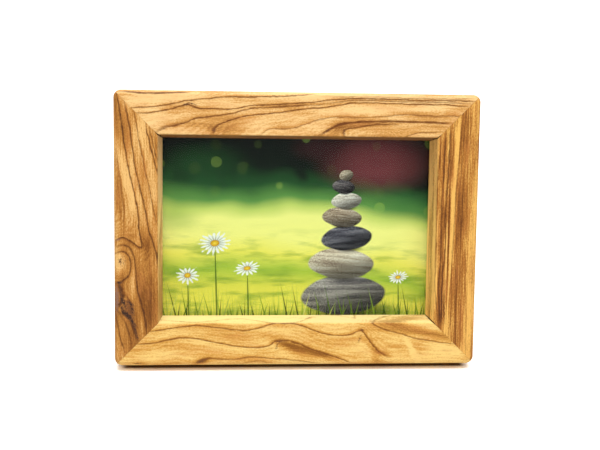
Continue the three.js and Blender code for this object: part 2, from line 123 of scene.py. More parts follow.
# Hinge, measured from its pin, and the easel leg. A knuckle's sheet is rolled from 180 degrees on, and its
# inner face starts a little later.
PIN_BEHIND_PANEL = 2.5
PIN_HEIGHT = 98
LEAF_WIDTH = 24
LEAF_LENGTH = 20
LEAF_THICKNESS = 0.8
LEAF_CORNER_RADIUS = 3
KNUCKLE_RADIUS = 2.2
KNUCKLE_SPAN = 14.4
KNUCKLE_MIDDLE = 6
KNUCKLE_GAP = 0.2
KNUCKLE_SWEEP = 282
KNUCKLE_INNER_START = 190
LEAF_OVER_PIN = 0.3
PIN_RADIUS = 1
PIN_CLEARANCE = 0.08
PIN_HEAD_RADIUS = 1.6
PIN_HEAD_LENGTH = 0.6
PIN_HEAD_EDGE = 0.15
PIN_HEAD_DOME = 0.06
HEEL_WIDTH = 3.5
RIVET_SPACING = 14
RIVET_FROM_PIN = 14
RIVET_HEAD_RADIUS = 3
RIVET_HEAD_HEIGHT = 1.1
RIVET_SHANK_RADIUS = 1.5
RIVET_END_INSET = 0.2
SEAT_GAP = 0.3
LEG_OPENING = math.radians(24)
LEG_THICKNESS = 3
LEG_TOP_WIDTH = 28
LEG_FOOT_WIDTH = 44
LEG_CORNER_RADIUS = 4
LEG_BELOW_PIN = 3.4
LEG_SPARE_LENGTH = 12
LEAF_OFFSET = KNUCKLE_RADIUS - LEAF_THICKNESS
KNUCKLE_CLEAR = KNUCKLE_RADIUS + SEAT_GAP
HEEL_TOP = (LEAF_OFFSET * (1 + math.cos(LEG_OPENING)) - SEAT_GAP) / math.sin(LEG_OPENING)

# Sawtooth hanger
HANGER_LENGTH = 44
HANGER_TAB = 8
HANGER_JOGGLE = 3
HANGER_RISE = 1.8
HANGER_THICKNESS = 0.8
HANGER_EDGE = 0.15
HANGER_CORNER_RADIUS = 0.8
HANGER_HEIGHT = 10
HANGER_MIDDLE = 11
TOOTH_PITCH = 2
TOOTH_DEPTH = 1.6
TOOTH_COUNT = 9
NAIL_SHANK_RADIUS = 0.7
NAIL_HEAD_RADIUS = 1.9
NAIL_HEAD_HEIGHT = 0.7
NAIL_DEPTH = 9
NAIL_TIP = 1.5

# Fastener heads: the rim is a share of the head's height
HEAD_EDGE = 0.12
HEAD_RIM = 0.35
HEAD_CLEARANCE = 0.03

# Bodies that are joined overlap by a hair, and a cutter runs on past the face that it enters
HAIR = 0.02
CUTTER_OVERRUN = 1

# Points this near to each other are made one, and a point this near to a cut counts as on it
MERGE_DISTANCE = 1e-4
CUT_TOLERANCE = 1e-5

# Mesh steps, and the angle from which an edge is drawn sharp
ALONG_STEP = 0.6
ACROSS_STEP = 0.4
REAR_STEP = 1
REBATE_STEP = 1.5
ROUND_STEPS = 8
EASED_STEPS = 3
ROLL_STEPS = 36
TURNED_STEPS = 48
RIB_STEPS = 24
HOLE_STEPS = 32
PILOT_HOLE_STEPS = 16
BUTTON_TIP_STEPS = 16
BUTTON_HEAD_STEPS = 28
PRINT_STEP = 4
SHARP_ANGLE = math.radians(38)


def joint(name):
    """The frame's joint of that name."""
    return next(j for j in frame["joints"] if j["name"] == name)


# The leaning frame's place, from the turn buttons' axis and the hinge pin
LEAN = math.asin(-joint("button_left_turn")["axis"][2])
TILT = Matrix.Rotation(-LEAN, 4, "X")
PIN_PLACE = Vector(joint("leg_fold")["pos_m"])
LOWER_EDGE = PIN_PLACE - TILT @ Vector((0, PIN_BEHIND_PANEL * MM, PIN_HEIGHT * MM))
STANCE = Matrix.Translation(LOWER_EDGE) @ TILT @ Matrix.Scale(MM, 4)
HINGE = STANCE @ Matrix.Translation((0, PIN_BEHIND_PANEL, PIN_HEIGHT))
STRUT = HINGE @ Matrix.Rotation(LEG_OPENING, 4, "X")

# Each side is drawn as the bottom one, along x, and turned about the frame's middle.
# Left and right are as seen from the front.
Side = namedtuple("Side", "turn length distance buttons gap_left gap_right")
SIDES = {
    "bottom": Side(0, FRAME_WIDTH, FRAME_HEIGHT / 2,
                   {"bottom_left": -BUTTON_FROM_MIDDLE, "bottom_right": BUTTON_FROM_MIDDLE},
                   MITRE_GAP_TIGHT, MITRE_GAP_OPEN),
    "left": Side(90, FRAME_HEIGHT, FRAME_WIDTH / 2, {"left": 0}, MITRE_GAP_OPEN, MITRE_GAP_TIGHT),
    "top": Side(180, FRAME_WIDTH, FRAME_HEIGHT / 2,
                {"top_right": -BUTTON_FROM_MIDDLE, "top_left": BUTTON_FROM_MIDDLE},
                MITRE_GAP_OPEN, MITRE_GAP_OPEN),
    "right": Side(-90, FRAME_HEIGHT, FRAME_WIDTH / 2, {"right": 0}, MITRE_GAP_OPEN, MITRE_GAP_OPEN),
}


def side_place(side):
    """Turns what is drawn on the bottom side, with z from the frame's middle, to where the side is."""
    middle = Matrix.Translation((0, 0, FRAME_HEIGHT / 2))
    return middle @ Matrix.Rotation(math.radians(side.turn), 4, "Y")


# Figure of the wood. A vein is a growth ring that shows as a dark line: its ring number, how dark and how
# wide it is, and a few points on it. All points are on the frame's front, x from its left edge and z from
# its lower edge.
Vein = namedtuple("Vein", "ring strength width points")
Smudge = namedtuple("Smudge", "x z long wide tilt amount")

VEINS = {
    "top": [
        Vein(0, 1, 0.9, [(3, 147.2), (9, 147), (14, 146.4), (22, 146.3), (30, 146.8), (40, 147.4)]),
        Vein(1, 0.9, 0.5, [(8, 138.5), (18.5, 139), (26.5, 140), (38.5, 142.4), (53, 144.2),
                           (64, 145.1), (78, 145.6), (94, 146.3), (106, 147.2)]),
        Vein(2, 0.9, 0.5, [(11, 136), (18, 136), (24, 137), (29.5, 138), (35.5, 139.7), (38.5, 140.6),
                           (41, 139.8), (44, 139), (49, 138.5), (64.5, 138.5), (71, 140), (87.5, 141),
                           (106, 142.5), (114, 144), (133, 145), (163, 144.5), (194, 144.5)]),
        Vein(3, 0.85, 0.55, [(22, 125.5), (28.5, 128.5), (35, 130), (40, 131.5), (43.5, 133.5),
                             (49, 134), (58.5, 135.5), (63.5, 136.5), (68, 138.2), (72, 139.4),
                             (87.5, 140.3), (104, 141.6)]),
        Vein(4, 0.9, 0.5, [(53, 125.5), (53.5, 128.5), (58.5, 131.5), (64.5, 133.5), (71, 135),
                           (87.5, 137), (103, 139.3), (112.5, 140.2), (122.5, 142), (132, 143),
                           (159.5, 142.5), (176.5, 142.5), (190, 141.5)]),
        Vein(5, 0.55, 0.5, [(77.5, 125), (82, 128), (91, 128.5), (96, 129), (104.5, 132), (114, 134.5),
                            (120, 135), (132.5, 134.6), (142.5, 135.5), (154, 136.5), (166.5, 136),
                            (180, 136), (190, 135.8)]),
        Vein(6, 1.0, 0.9, [(109, 125), (115.5, 129), (121.5, 131.5), (129.5, 132.5), (139.5, 133),
                           (163, 133), (181, 132.5)]),
        Vein(7, 0.8, 0.6, [(123.5, 124.5), (122, 127.5), (124.5, 129), (132, 130), (139, 131.3),
                           (150, 131.5)]),
        Vein(8, 0.6, 0.5, [(153, 124), (162, 127), (170, 127.5), (176.5, 128)]),
    ],
    "left": [
        Vein(0, 0.7, 0.4, [(18.8, 128), (20.3, 121), (22.2, 113.5), (23.5, 108)]),
        Vein(1, 0.9, 0.5, [(16.8, 131.5), (17.8, 127), (18.8, 123), (20, 116.5), (22, 109), (23.5, 102)]),
        Vein(2, 0.6, 0.45, [(10.5, 137.5), (12, 130.5), (12.8, 124.5), (15, 113.5), (16.5, 105),
                            (18.5, 97.5), (21, 85), (22.5, 77.5)]),
        Vein(3, 0.85, 0.55, [(5.8, 142), (7.5, 134.5), (9, 125.5), (11.5, 107.5), (14.5, 94),
                             (17.5, 80), (18.5, 73), (21, 66.5), (22.5, 61), (23, 54.5)]),
        Vein(4, 0.9, 0.5, [(1.5, 147), (2.4, 143), (3.5, 137.5), (5.5, 122), (8, 106.5), (11.5, 91),
                           (13, 82.5), (13.3, 74.5), (14, 70.5), (14.8, 64.2), (12, 65.5), (9.5, 67.5),
                           (7, 69), (4.5, 69.8), (2.5, 69), (0.5, 65.5)]),
        Vein(5, 0.35, 0.8, [(1.5, 116), (3.5, 100), (5, 88), (5.5, 78)]),
        Vein(4, 0.75, 0.6, [(1, 64.5), (4.5, 65.5), (7, 65), (9.5, 62), (11, 57), (12, 45.5),
                            (12.5, 40.5), (14, 35.5), (15.5, 30), (16.5, 24.5), (17, 18)]),
        Vein(5, 0.8, 0.55, [(0, 60.5), (2.5, 62), (5.5, 62.2), (8, 59.5), (9, 56), (8.5, 51), (7, 48.5),
                            (3, 46), (0, 46)]),
        Vein(5, 1.0, 1.1, [(0, 44.5), (3, 43.5), (4.5, 38), (3, 33), (4.5, 29), (7, 27), (9.5, 23.5),
                           (11, 18.5), (12.2, 13)]),
        Vein(5, 0.7, 0.8, [(4.5, 38), (7.5, 36.5), (9, 32.5), (8.5, 27.5), (7, 27)]),
        Vein(7, 0.7, 0.5, [(0.5, 29), (1.5, 24), (3, 16.5), (5.5, 7)]),
        Vein(6, 0.6, 0.6, [(4, 27), (5.5, 25), (7, 20.5), (9, 13)]),
    ],
    "right": [
        Vein(0, 0.5, 0.4, [(173.5, 125), (172, 105.5), (171.5, 85.5), (172, 59.5), (171.8, 43.5),
                           (174, 25)]),
        Vein(1, 0.55, 0.4, [(175.6, 127), (174.4, 105), (174, 85), (174.2, 60), (174.3, 43), (176, 24)]),
        Vein(2, 0.7, 0.5, [(178, 129), (177.4, 110), (176.6, 85), (177, 60), (176, 43), (177.6, 23)]),
        Vein(3, 0.8, 0.55, [(180.4, 131), (180.2, 115.5), (180, 105.5), (178.9, 83), (179.4, 67),
                            (178, 46.5), (179.2, 22)]),
        Vein(4, 0.3, 0.4, [(183, 138), (182, 122.5), (181.5, 108), (181, 93), (180.9, 75.5),
                           (180.8, 51.5), (179, 33), (179, 18.5)]),
        Vein(5, 0.4, 0.5, [(187.3, 138), (186.4, 122.5), (185.4, 108), (184.4, 93), (184, 75.5),
                           (183, 51.5), (183.6, 33), (182.7, 16)]),
        Vein(6, 0.4, 0.5, [(188.6, 139), (187, 108), (185.4, 80), (185.4, 50), (186.4, 14)]),
        Vein(7, 0.25, 0.5, [(190.2, 140), (189, 108), (188, 78), (188, 50), (189.4, 10)]),
        Vein(8, 0.25, 0.45, [(192, 142), (191, 108), (190.6, 78), (191, 45), (192.6, 6)]),
        Vein(9, 0.2, 0.45, [(195, 145), (194.4, 108), (194.2, 78), (194.6, 40), (195.4, 3)]),
    ],
    "bottom": [
        Vein(0, 0.7, 0.55, [(135.5, 26), (142, 21.5), (148, 19), (154.5, 17.5), (162, 15), (173, 13),
                            (187, 11)]),
        Vein(1, 0.85, 0.45, [(18, 18.8), (33.5, 21), (41.5, 22), (49.5, 21.5), (65, 19.5), (72.5, 19.5),
                             (79, 21), (86, 23), (92, 23), (100, 22), (111, 18), (118, 16.5),
                             (124.5, 16.5), (130, 17.5), (134, 19), (137, 15), (140.5, 10.5), (144, 7),
                             (149, 4)]),
        Vein(2, 0.85, 0.5, [(11.5, 12), (20.5, 12.5), (28, 14), (35, 15.4), (41.5, 15.1), (48.5, 14),
                            (63.5, 11), (74.5, 9.9), (80, 10.2), (83.5, 11), (86.5, 13.2), (92, 13.6),
                            (97.5, 12.6), (104.5, 9.5), (114.5, 6), (123.5, 3), (129, 0.5)]),
        Vein(3, 0.7, 0.5, [(45, 1.5), (47.5, 2.8), (50.5, 3.8), (57, 3.5), (65, 3.5), (74, 4.5),
                           (82, 4), (98.5, 2.5), (111.5, 0.5)]),
        Vein(4, 0.4, 0.6, [(68, 0), (74, 2.2), (79.5, 2.2), (86, 0)]),
    ],
}

# Ring numbers at single places, x, z and the number, where the veins alone leave them open
RING_SPOTS = {
    "top": [
        (10, 128, 2.4), (40, 127, 3.3), (66, 126, 4.5), (135, 125.5, 7.6), (172, 139, 4.5),
        (60, 151, 0.3), (100, 152, 0.5),
    ],
    "left": [
        (6, 78, 4.7), (2, 110, 5), (4, 67.3, 3.85), (3.5, 57, 6.3), (6.2, 32.5, 5.6), (1, 36, 4.6),
        (19, 40, 3.4), (22, 30, 3.1), (1, 8, 7.6),
    ],
    "right": [],
    "bottom": [
        (165, 22, -1.5), (180, 18, -1), (170, 5, 0.8), (190, 3, 0.9), (140, 2, 1.9), (20, 4, 2.8),
    ],
}

# Slow changes of the wood's colour: darker where the amount is above 0, paler where it is below. A few pale
# ones are painted highlights, as marked.
SMUDGES = {
    "top": [
        Smudge(44, 131, 20, 4, 10, 0.3), Smudge(62, 128, 9, 4, 20, 0.3),
        Smudge(22, 143.5, 18, 2.6, 4, -0.35), Smudge(17, 131, 9, 4, 10, -0.25),
        # Painted highlight on the upper edge: the pale smudge at x 105, and partly those at x 150 and 155
        Smudge(105, 146.5, 40, 2, 0, -0.35), Smudge(119, 128.5, 6, 3.4, 35, 0.65),
        Smudge(131, 131, 9, 1.4, 6, 0.4), Smudge(150, 139.3, 32, 2.2, 0, -0.35),
        Smudge(164, 129.5, 16, 2.4, 0, 0.15), Smudge(92, 140.6, 20, 1.1, 5, 0.3),
        Smudge(52, 127, 2.5, 2.5, 0, 0.4), Smudge(155, 146.2, 42, 1.3, 0, -0.5),
        Smudge(150, 143.4, 34, 0.7, 0, -0.4), Smudge(155, 137, 45, 13, 0, 0.1),
    ],
    "left": [
        Smudge(6.3, 128, 14, 2.2, 97, 0.5), Smudge(1.6, 132, 14, 2, 95, 0.4),
        Smudge(4.5, 108, 14, 2, 98, -0.3), Smudge(10, 90, 16, 2.5, 100, -0.2),
        Smudge(3.5, 86, 14, 2.5, 95, 0.4), Smudge(18.5, 46, 20, 4.2, 90, 0.32),
        Smudge(20, 25, 12, 3.5, 100, 0.2), Smudge(9.8, 45, 9, 1.1, 90, -0.35),
        Smudge(14, 27, 8, 1.1, 100, -0.3), Smudge(12, 30, 44, 16, 90, 0.54),
        Smudge(3.6, 56, 5, 3.2, 90, -0.5), Smudge(4, 48, 3, 2.4, 0, 0.15),
        Smudge(1.2, 38, 8, 1.8, 90, 0.35), Smudge(16.5, 118, 12, 2, 98, -0.25),
        Smudge(17, 68, 6, 2.5, 100, 0.3), Smudge(7, 32, 5, 2.5, 90, 0.35),
    ],
    "right": [
        Smudge(184.6, 122, 12, 0.9, 86.5, -1), Smudge(183.3, 98, 14, 0.75, 86.5, -0.95),
        Smudge(182.9, 72, 13, 0.65, 87, -0.8), Smudge(182, 48, 14, 0.6, 88, -0.7),
        Smudge(180.8, 25, 12, 1, 89, -0.5), Smudge(180.9, 84, 44, 0.45, 90, 0.85),
        Smudge(179.9, 58, 20, 0.45, 90, -0.6), Smudge(179.5, 120, 13, 0.5, 89, -0.6),
        Smudge(177.2, 62, 46, 1.7, 90, 0.45), Smudge(177.4, 26, 13, 0.9, 88, 0.4),
        Smudge(174.4, 48, 26, 0.8, 90, -0.55), Smudge(173.6, 118, 14, 0.8, 90, -0.5),
        Smudge(174.5, 94, 12, 0.6, 90, 0.3), Smudge(187, 42, 32, 3.4, 90, 0.5),
        Smudge(187.4, 90, 20, 2.5, 90, 0.5), Smudge(194, 28, 30, 2.3, 90, -0.5),
        Smudge(194.4, 88, 26, 2, 90, -0.15), Smudge(190, 125, 16, 5, 90, 0.16),
        Smudge(185, 110, 36, 14, 90, 0.08),
    ],
    "bottom": [
        Smudge(96, 10, 11, 2.4, -22, 0.95), Smudge(112, 5.6, 10, 1.6, -20, 0.8),
        Smudge(116, 12, 15, 3.2, -5, 0.3), Smudge(156, 21, 18, 2.8, -14, 0.75),
        Smudge(176, 16.4, 12, 2, -12, 0.45), Smudge(47, 2.5, 4, 1.6, 20, 0.95),
        # Painted highlight: the pale smudge at x 162.5
        Smudge(13, 1.2, 4, 0.9, 0, 0.5), Smudge(162.5, 7.2, 6.5, 1.2, -60, -1.1),
        Smudge(182, 6, 12, 3.4, 0, -0.3), Smudge(141, 9, 6, 2, -52, 0.45), Smudge(60, 17, 24, 2, 0, 0.12),
        Smudge(60, 7, 28, 2.4, 0, 0.1), Smudge(142, 3, 3, 1.6, -40, 0.45),
        Smudge(146, 6.2, 4.5, 1.2, -15, 0.7),
    ],
}

# Bark drawn into the wood, knots and their cracks: dark where the amount is above 0, and weathered to a
# grey pink where it is below
BARK = {
    "top": [
        Smudge(38.4, 140.6, 1.6, 0.6, 8, 0.9), Smudge(41.6, 140.9, 2.4, 0.4, -15, 0.7),
        Smudge(53, 127.3, 1.6, 1.3, 90, 0.5), Smudge(113, 127.6, 4, 0.7, 38, 0.5),
        Smudge(122.5, 127, 2.4, 0.8, 95, 0.45),
    ],
    "left": [
        Smudge(2.6, 45.4, 1.8, 0.8, 0, 0.85), Smudge(3.3, 41, 4.6, 0.5, 100, 0.9),
        Smudge(4.4, 35.4, 2.4, 0.9, 120, 0.75), Smudge(8, 34.6, 3.4, 0.6, -25, 0.65),
        Smudge(9.8, 30.6, 3.2, 0.7, -75, 0.65), Smudge(4, 31.6, 3.4, 0.6, -60, 0.85),
        Smudge(6.6, 28.2, 3.4, 0.9, -32, 1), Smudge(9.4, 24.6, 4.6, 0.6, -50, 0.85),
        Smudge(11.6, 18.6, 6, 0.45, -72, 0.85), Smudge(6.8, 31.8, 4.5, 3, -60, 0.42),
        Smudge(1.4, 36.5, 6.5, 1.7, 92, -1.1), Smudge(3.4, 57.6, 1.8, 0.35, 62, 0.35),
        Smudge(3.2, 57.4, 1.7, 0.35, 118, 0.3), Smudge(5.6, 57, 1.7, 0.35, 35, 0.3),
        Smudge(4.8, 60, 1.6, 0.35, 160, 0.35), Smudge(2.4, 68.4, 2.4, 0.9, 12, -0.7),
        Smudge(4, 56, 3.8, 3.4, 90, 0.22), Smudge(3.5, 68.2, 3, 0.7, 20, 0.3),
    ],
    "right": [],
    "bottom": [
        Smudge(46.5, 2.4, 3.6, 1.3, 22, 0.48), Smudge(134, 19.2, 1.2, 0.8, 0, 0.5),
        Smudge(133, 14.6, 3, 0.9, 68, 0.4), Smudge(87.5, 10.5, 3, 0.8, 78, 0.4),
        Smudge(90, 13, 3, 0.7, 0, 0.42), Smudge(12.5, 1.4, 2.6, 0.7, 0, 0.42),
    ],
}

# How far the rings shift along and across the rail for each millimetre behind its front
GRAIN_SLANT = 0.35
GRAIN_DIVE = 0.6

# Ring numbers on a rail: the offset keeps them above 0. Their slope, in rings to a millimetre, is felt
# over a short probe.
RING_OFFSET = 20
RING_PROBE = 0.05
LEAST_RING_SLOPE = 0.03

# Veins: how far beside its line one reaches, and over what length it grows from its ends. Rings that would
# come out beyond the front's outer edge are buried veins, which show on the rail's side and rear.
VEIN_REACH = 1.6
VEIN_TAPER = 5
VEIN_END_STRENGTH = 0.25
VEIN_STEP = 0.8
PLAIN_VEIN_WIDTH = 0.5
BURIED_VEIN_STRENGTH = 0.55
BURIED_VEIN_FADE = 2

# The glue line shows as a share of its full strength where the mitre is closed. The inner wall's tone,
# partly painted light and shade, starts a lead before the wall, and fades in.
SEAM_SHARE = 0.1
SEAM_FADE = 3
WALL_LEAD = 0.3
WALL_FADE = 0.5


def smooth_line(points, step):
    """Points about a step apart on a smooth curve through a few."""
    p = np.array(points, float)
    p = np.vstack([2 * p[0] - p[1], p, 2 * p[-1] - p[-2]])
    parts = []
    for before, start, end, after in zip(p[:-3], p[1:-2], p[2:-1], p[3:]):
        count = max(1, round(np.linalg.norm(end - start) / step))
        t = np.linspace(0, 1, count, endpoint=False)[:, None]
        parts.append(start + 0.5 * t * (end - before + t * (2 * before - 5 * start + 4 * end - after
                                                            + t * (3 * start - before - 3 * end + after))))
    return np.vstack(parts + [p[-2:-1]])


def thin_plate(distance):
    """How far a thin metal sheet bends, at a distance from where it is pushed."""
    nearly_zero = 1e-9
    return distance**2 * np.log(distance + nearly_zero)


def ring_field(name):
    """A smooth field over a rail, as a function of points, which holds each vein's ring number along it."""
    spacing, scale, slack = 3, 0.1, 0.02
    lines = [smooth_line(vein.points, spacing) for vein in VEINS[name]]
    spots = np.array(RING_SPOTS[name], float).reshape(-1, 3)
    knots = np.vstack(lines + [spots[:, :2]]) * scale
    rings = [np.full(len(line), float(vein.ring)) for line, vein in zip(lines, VEINS[name])]
    heights = np.concatenate(rings + [spots[:, 2], np.zeros(3)])
    count = len(knots)
    between = thin_plate(np.linalg.norm(knots[:, None] - knots[None], axis=2))
    plane = np.hstack([np.ones((count, 1)), knots])
    system = np.block([[between + slack * np.eye(count), plane], [plane.T, np.zeros((3, 3))]])
    weights = np.linalg.solve(system, heights)

    def field(points):
        near = thin_plate(np.linalg.norm(points[:, None] * scale - knots[None], axis=2))
        return near @ weights[:count] + weights[count] + points * scale @ weights[count + 1:]

    return field


def vein_marks(name, points):
    """How strong and how wide the veins are near each point."""
    strength, width = np.zeros(len(points)), np.full(len(points), PLAIN_VEIN_WIDTH)
    for vein in VEINS[name]:
        line = smooth_line(vein.points, VEIN_STEP)
        along = np.concatenate([[0], np.cumsum(np.linalg.norm(np.diff(line, axis=0), axis=1))])
        ends = np.clip(np.minimum(along, along[-1] - along) / VEIN_TAPER, 0, 1)
        ends = VEIN_END_STRENGTH + (1 - VEIN_END_STRENGTH) * ends
        away = np.linalg.norm(points[:, None] - line[None], axis=2)
        nearest = away.argmin(1)
        here = vein.strength * ends[nearest] * np.exp(-((away.min(1) / VEIN_REACH) ** 2))
        width = np.where(here > strength, vein.width, width)
        strength = np.maximum(strength, here)
    return strength, width


def smudge_marks(smudges, points):
    """The smudges' amounts at each point, added up."""
    total = np.zeros(len(points))
    for smudge in smudges:
        angle = math.radians(smudge.tilt)
        away = points - (smudge.x, smudge.z)
        along = away @ (math.cos(angle), math.sin(angle)) / smudge.long
        across = away @ (-math.sin(angle), math.cos(angle)) / smudge.wide
        total += smudge.amount * np.exp(-(along**2) - across**2)
    return total


# Node and material helpers


def linear(hex_colour):
    """An sRGB hex colour as linear red, green and blue."""
    parts = [int(hex_colour[i:i + 2], 16) / 255 for i in (1, 3, 5)]
    return [p / 12.92 if p <= 0.04045 else ((p + 0.055) / 1.055) ** 2.4 for p in parts] + [1]


def add(tree, kind, sockets=(), out=0, stops=(), **settings):
    """Adds a node with its settings and links, and gives one of its outputs, or the node itself.

    Sockets are named, or given in the node's own order. A hex string is a colour.
    """
    node = tree.nodes.new("ShaderNode" + kind)
    for name, value in settings.items():
        setattr(node, name, value)
    for spare in list(node.color_ramp.elements)[1:] if stops else ():
        node.color_ramp.elements.remove(spare)
    for i, (position, colour) in enumerate(stops):
        element = node.color_ramp.elements.new(position) if i else node.color_ramp.elements[0]
        element.position = position
        element.color = linear(colour)
    for name, value in sockets.items() if isinstance(sockets, dict) else enumerate(sockets):
        if isinstance(value, bpy.types.NodeSocket):
            tree.links.new(value, node.inputs[name])
        else:
            node.inputs[name].default_value = linear(value) if isinstance(value, str) else value
    return node if out is None or not node.outputs else node.outputs[out]


def new_material(name):
    """A material with an empty node tree."""
    material = bpy.data.materials.new(name)
    material.use_nodes = True
    material.node_tree.nodes.clear()
    return material


def fine_place(tree, cycles):
    """Place on the piece for a pattern, with its cycles in a millimetre along each axis."""
    place = add(tree, "TexCoord", out="Object")
    return add(tree, "Mapping", {"Vector": place, "Scale": [c / MM for c in cycles]})


# Olive wood: pale honey to brown, with dark rings that wander, planed, sanded and oiled to a satin
# finish, so it keeps a soft shine and its pores stay open. Each rail's tones go from its palest wood to
# the dark of a vein.
WOOD_TONES = {
    "top": ("#f6cb88", "#d4994e", "#8f581e", "#643204"),
    "bottom": ("#f5ce7a", "#d99e46", "#9a6219", "#744008"),
    "left": ("#efbe74", "#c28438", "#885014", "#4b2403"),
    "right": ("#efb85c", "#b4732a", "#74400a", "#462104"),
}
# Each drafted inner wall has a tone of its own, the upper one darker than the front and the others paler.
# The upper wall's darker tone is painted shade. The others' paler tones are partly paler cut wood and
# partly painted light. Each covers the wood by a share, and dark streaks by less of that.
WALL_TONES_WITH_PAINTED_SHADING = {"top": "#7c522e", "bottom": "#f8e09c", "left": "#ffd292", "right": "#ffcb76"}
WALL_SHARE = {"top": 0.95, "bottom": 0.9, "left": 0.85, "right": 1}
WALL_SHARE_ON_STREAKS = 0.3

# The wood's darkness runs from 0 to its darkest. A number of faint rings lie between two veins, and streaks
# along the fibres make the wood darker or paler by a strength.
DARKEST = 1.5
FAINT_RINGS = 5
STREAKS = {"top": 0.08, "bottom": 0.06, "left": 0.14, "right": 0.3}
FIBRES_PER_MM = {"top": 1.1, "bottom": 1, "left": 1.2, "right": 1.3}
BARK_TONES = ("#704626", "#2a170d")
WEATHERED_TONE = "#8f6a58"
BLUSH_TONE = "#d28544"
GLUE = "#3a0f0a"
WOOD_MARKS = ("ring", "ring_slope", "vein_width", "vein_strength", "wood_shade", "bark", "inner_wall",
              "mitre_distance", "open_seam")


def wood_noises(tree, name):
    """The wood's random patterns, drawn out along the rail as its fibres are.

    For each: its cycles in a millimetre along and across the fibres, its detail and its roughness. Pores
    and specks are drawn coarser than the real ones, so that they show.
    """
    place = add(tree, "Attribute", out="Vector", attribute_name="grain_place")
    fibres = FIBRES_PER_MM[name]
    noise = {}
    for kind, along, across, detail, roughness in (
            ("wander", 0.16, 0.7, 3, 0.5), ("fibre", 0.05, fibres, 5, 0.65),
            ("streak", 0.012, 1.5 * fibres, 3, 0.6), ("speck", 0.9, 1.7, 2, 0.7),
            ("pore", 0.3, 2.4, 1, 0.5), ("patch", 0.035, 0.16, 2, 0.5),
            ("tint", 0.05, 0.22, 2, 0.6), ("blotch", 0.9, 1.2, 3, 0.75)):
        scaled = add(tree, "Mapping", {"Vector": place, "Scale": (along, across, across)})
        noise[kind] = add(tree, "TexNoise", {"Vector": scaled, "Scale": 1, "Detail": detail,
                                             "Roughness": roughness})
    return noise


def wood_veins(tree, noise, mark):
    """The ring number at each point, how much of a vein covers it, and the shade beside the vein.

    Veins follow the whole ring numbers, wander a little and are broken by pores.
    """
    wobble = add(tree, "MapRange", (noise["wander"], 0.25, 0.75, -0.35, 0.35))
    ring = add(tree, "Math", (wobble, mark["ring_slope"], mark["ring"]), operation="MULTIPLY_ADD")
    rings_away = add(tree, "Math", (ring, 0.5), operation="PINGPONG")
    away = add(tree, "Math", (rings_away, mark["ring_slope"]), operation="DIVIDE")
    widths_away = add(tree, "Math", (away, mark["vein_width"]), operation="DIVIDE")
    vein = add(tree, "MapRange", (widths_away, 0.35, 1.05, 1, 0), interpolation_type="SMOOTHSTEP")
    broken = add(tree, "MapRange", (noise["pore"], 0.3, 0.6, 0.6, 1))
    for factor in (mark["vein_strength"], broken):
        vein = add(tree, "Math", (vein, factor), operation="MULTIPLY")
    halo = add(tree, "MapRange", (away, 0, 1.4, 0.2, 0), interpolation_type="SMOOTHSTEP")
    halo = add(tree, "Math", (halo, mark["vein_strength"]), operation="MULTIPLY")
    return ring, vein, halo


def wood_darkness(tree, name, noise, mark, ring, halo):
    """How dark the wood is: its body lies round 0.4.

    A ring's late wood darkens slowly towards the next vein, and faint rings lie between the veins.
    """
    late = add(tree, "Math", (ring,), operation="FRACT")
    late = add(tree, "Math", (late, 3), operation="POWER")
    late = add(tree, "Math", (late, mark["vein_strength"]), operation="MULTIPLY")
    phase = add(tree, "Math", (ring, FAINT_RINGS * math.tau), operation="MULTIPLY")
    phase = add(tree, "Math", (noise["wander"], 6, phase), operation="MULTIPLY_ADD")
    faint = add(tree, "Math", (phase,), operation="SINE")
    faint_strength = add(tree, "MapRange", (mark["ring_slope"], 0.08, 0.4, 0.1, 0))
    darkness = add(tree, "Math", (faint, faint_strength, 0.15), operation="MULTIPLY_ADD")
    darkness = add(tree, "Math", (late, 0.3, darkness), operation="MULTIPLY_ADD")
    darkness = add(tree, "Math", (darkness, halo), operation="ADD")
    streak = STREAKS[name]
    fibre = 0.07 + 0.5 * streak
    for kind, low, high in (("fibre", -fibre, 1.5 * fibre), ("patch", -0.26, 0.26),
                            ("speck", -0.2, 0.2), ("streak", -streak, streak)):
        share = add(tree, "MapRange", (noise[kind], 0.3, 0.7, low, high))
        darkness = add(tree, "Math", (darkness, share), operation="ADD")
    return add(tree, "Math", (mark["wood_shade"], 0.95, darkness), operation="MULTIPLY_ADD")


def wood_colour(tree, name, noise, mark, darkness, veins, bark):
    """The wood's own colour, and what lies over it, from the red blush to the glue of the mitre."""
    pale, body, dark, vein = WOOD_TONES[name]
    ramp_place = add(tree, "Math", (darkness, DARKEST), operation="DIVIDE")
    colour = add(tree, "ValToRGB", (ramp_place,), stops=[(0, pale), (0.27, body), (0.62, dark), (1, vein)])
    blush = add(tree, "MapRange", (noise["tint"], 0.5, 0.7, 0, 0.3))
    pores = add(tree, "MapRange", (noise["pore"], 0.62, 0.74, 0, 0.4))
    weathered = add(tree, "MapRange", (bark, -0.15, -0.8, 0, 0.8))
    rough_bark = add(tree, "MapRange", (bark, 0.15, 0.5, 0, 0.75), interpolation_type="SMOOTHSTEP")
    black_bark = add(tree, "MapRange", (bark, 0.5, 0.9, 0, 0.92), interpolation_type="SMOOTHSTEP")
    # The inner wall's tone: painted shade on the upper wall, and partly painted light on the others
    share = WALL_SHARE[name]
    wall = add(tree, "MapRange", (darkness, 0.35, 0.75, share, WALL_SHARE_ON_STREAKS * share))
    wall = add(tree, "Math", (mark["inner_wall"], wall), operation="MULTIPLY")
    seam = add(tree, "MapRange", (mark["mitre_distance"], 0.05, 0.5, 0.85, 0),
               interpolation_type="SMOOTHSTEP")
    seam = add(tree, "Math", (seam, mark["open_seam"]), operation="MULTIPLY")
    for cover, tone in ((blush, BLUSH_TONE), (pores, dark), (veins, vein), (weathered, WEATHERED_TONE),
                        (rough_bark, BARK_TONES[0]), (black_bark, BARK_TONES[1]),
                        (wall, WALL_TONES_WITH_PAINTED_SHADING[name]), (seam, GLUE)):
        colour = add(tree, "MixRGB", (cover, colour, tone))
    return colour


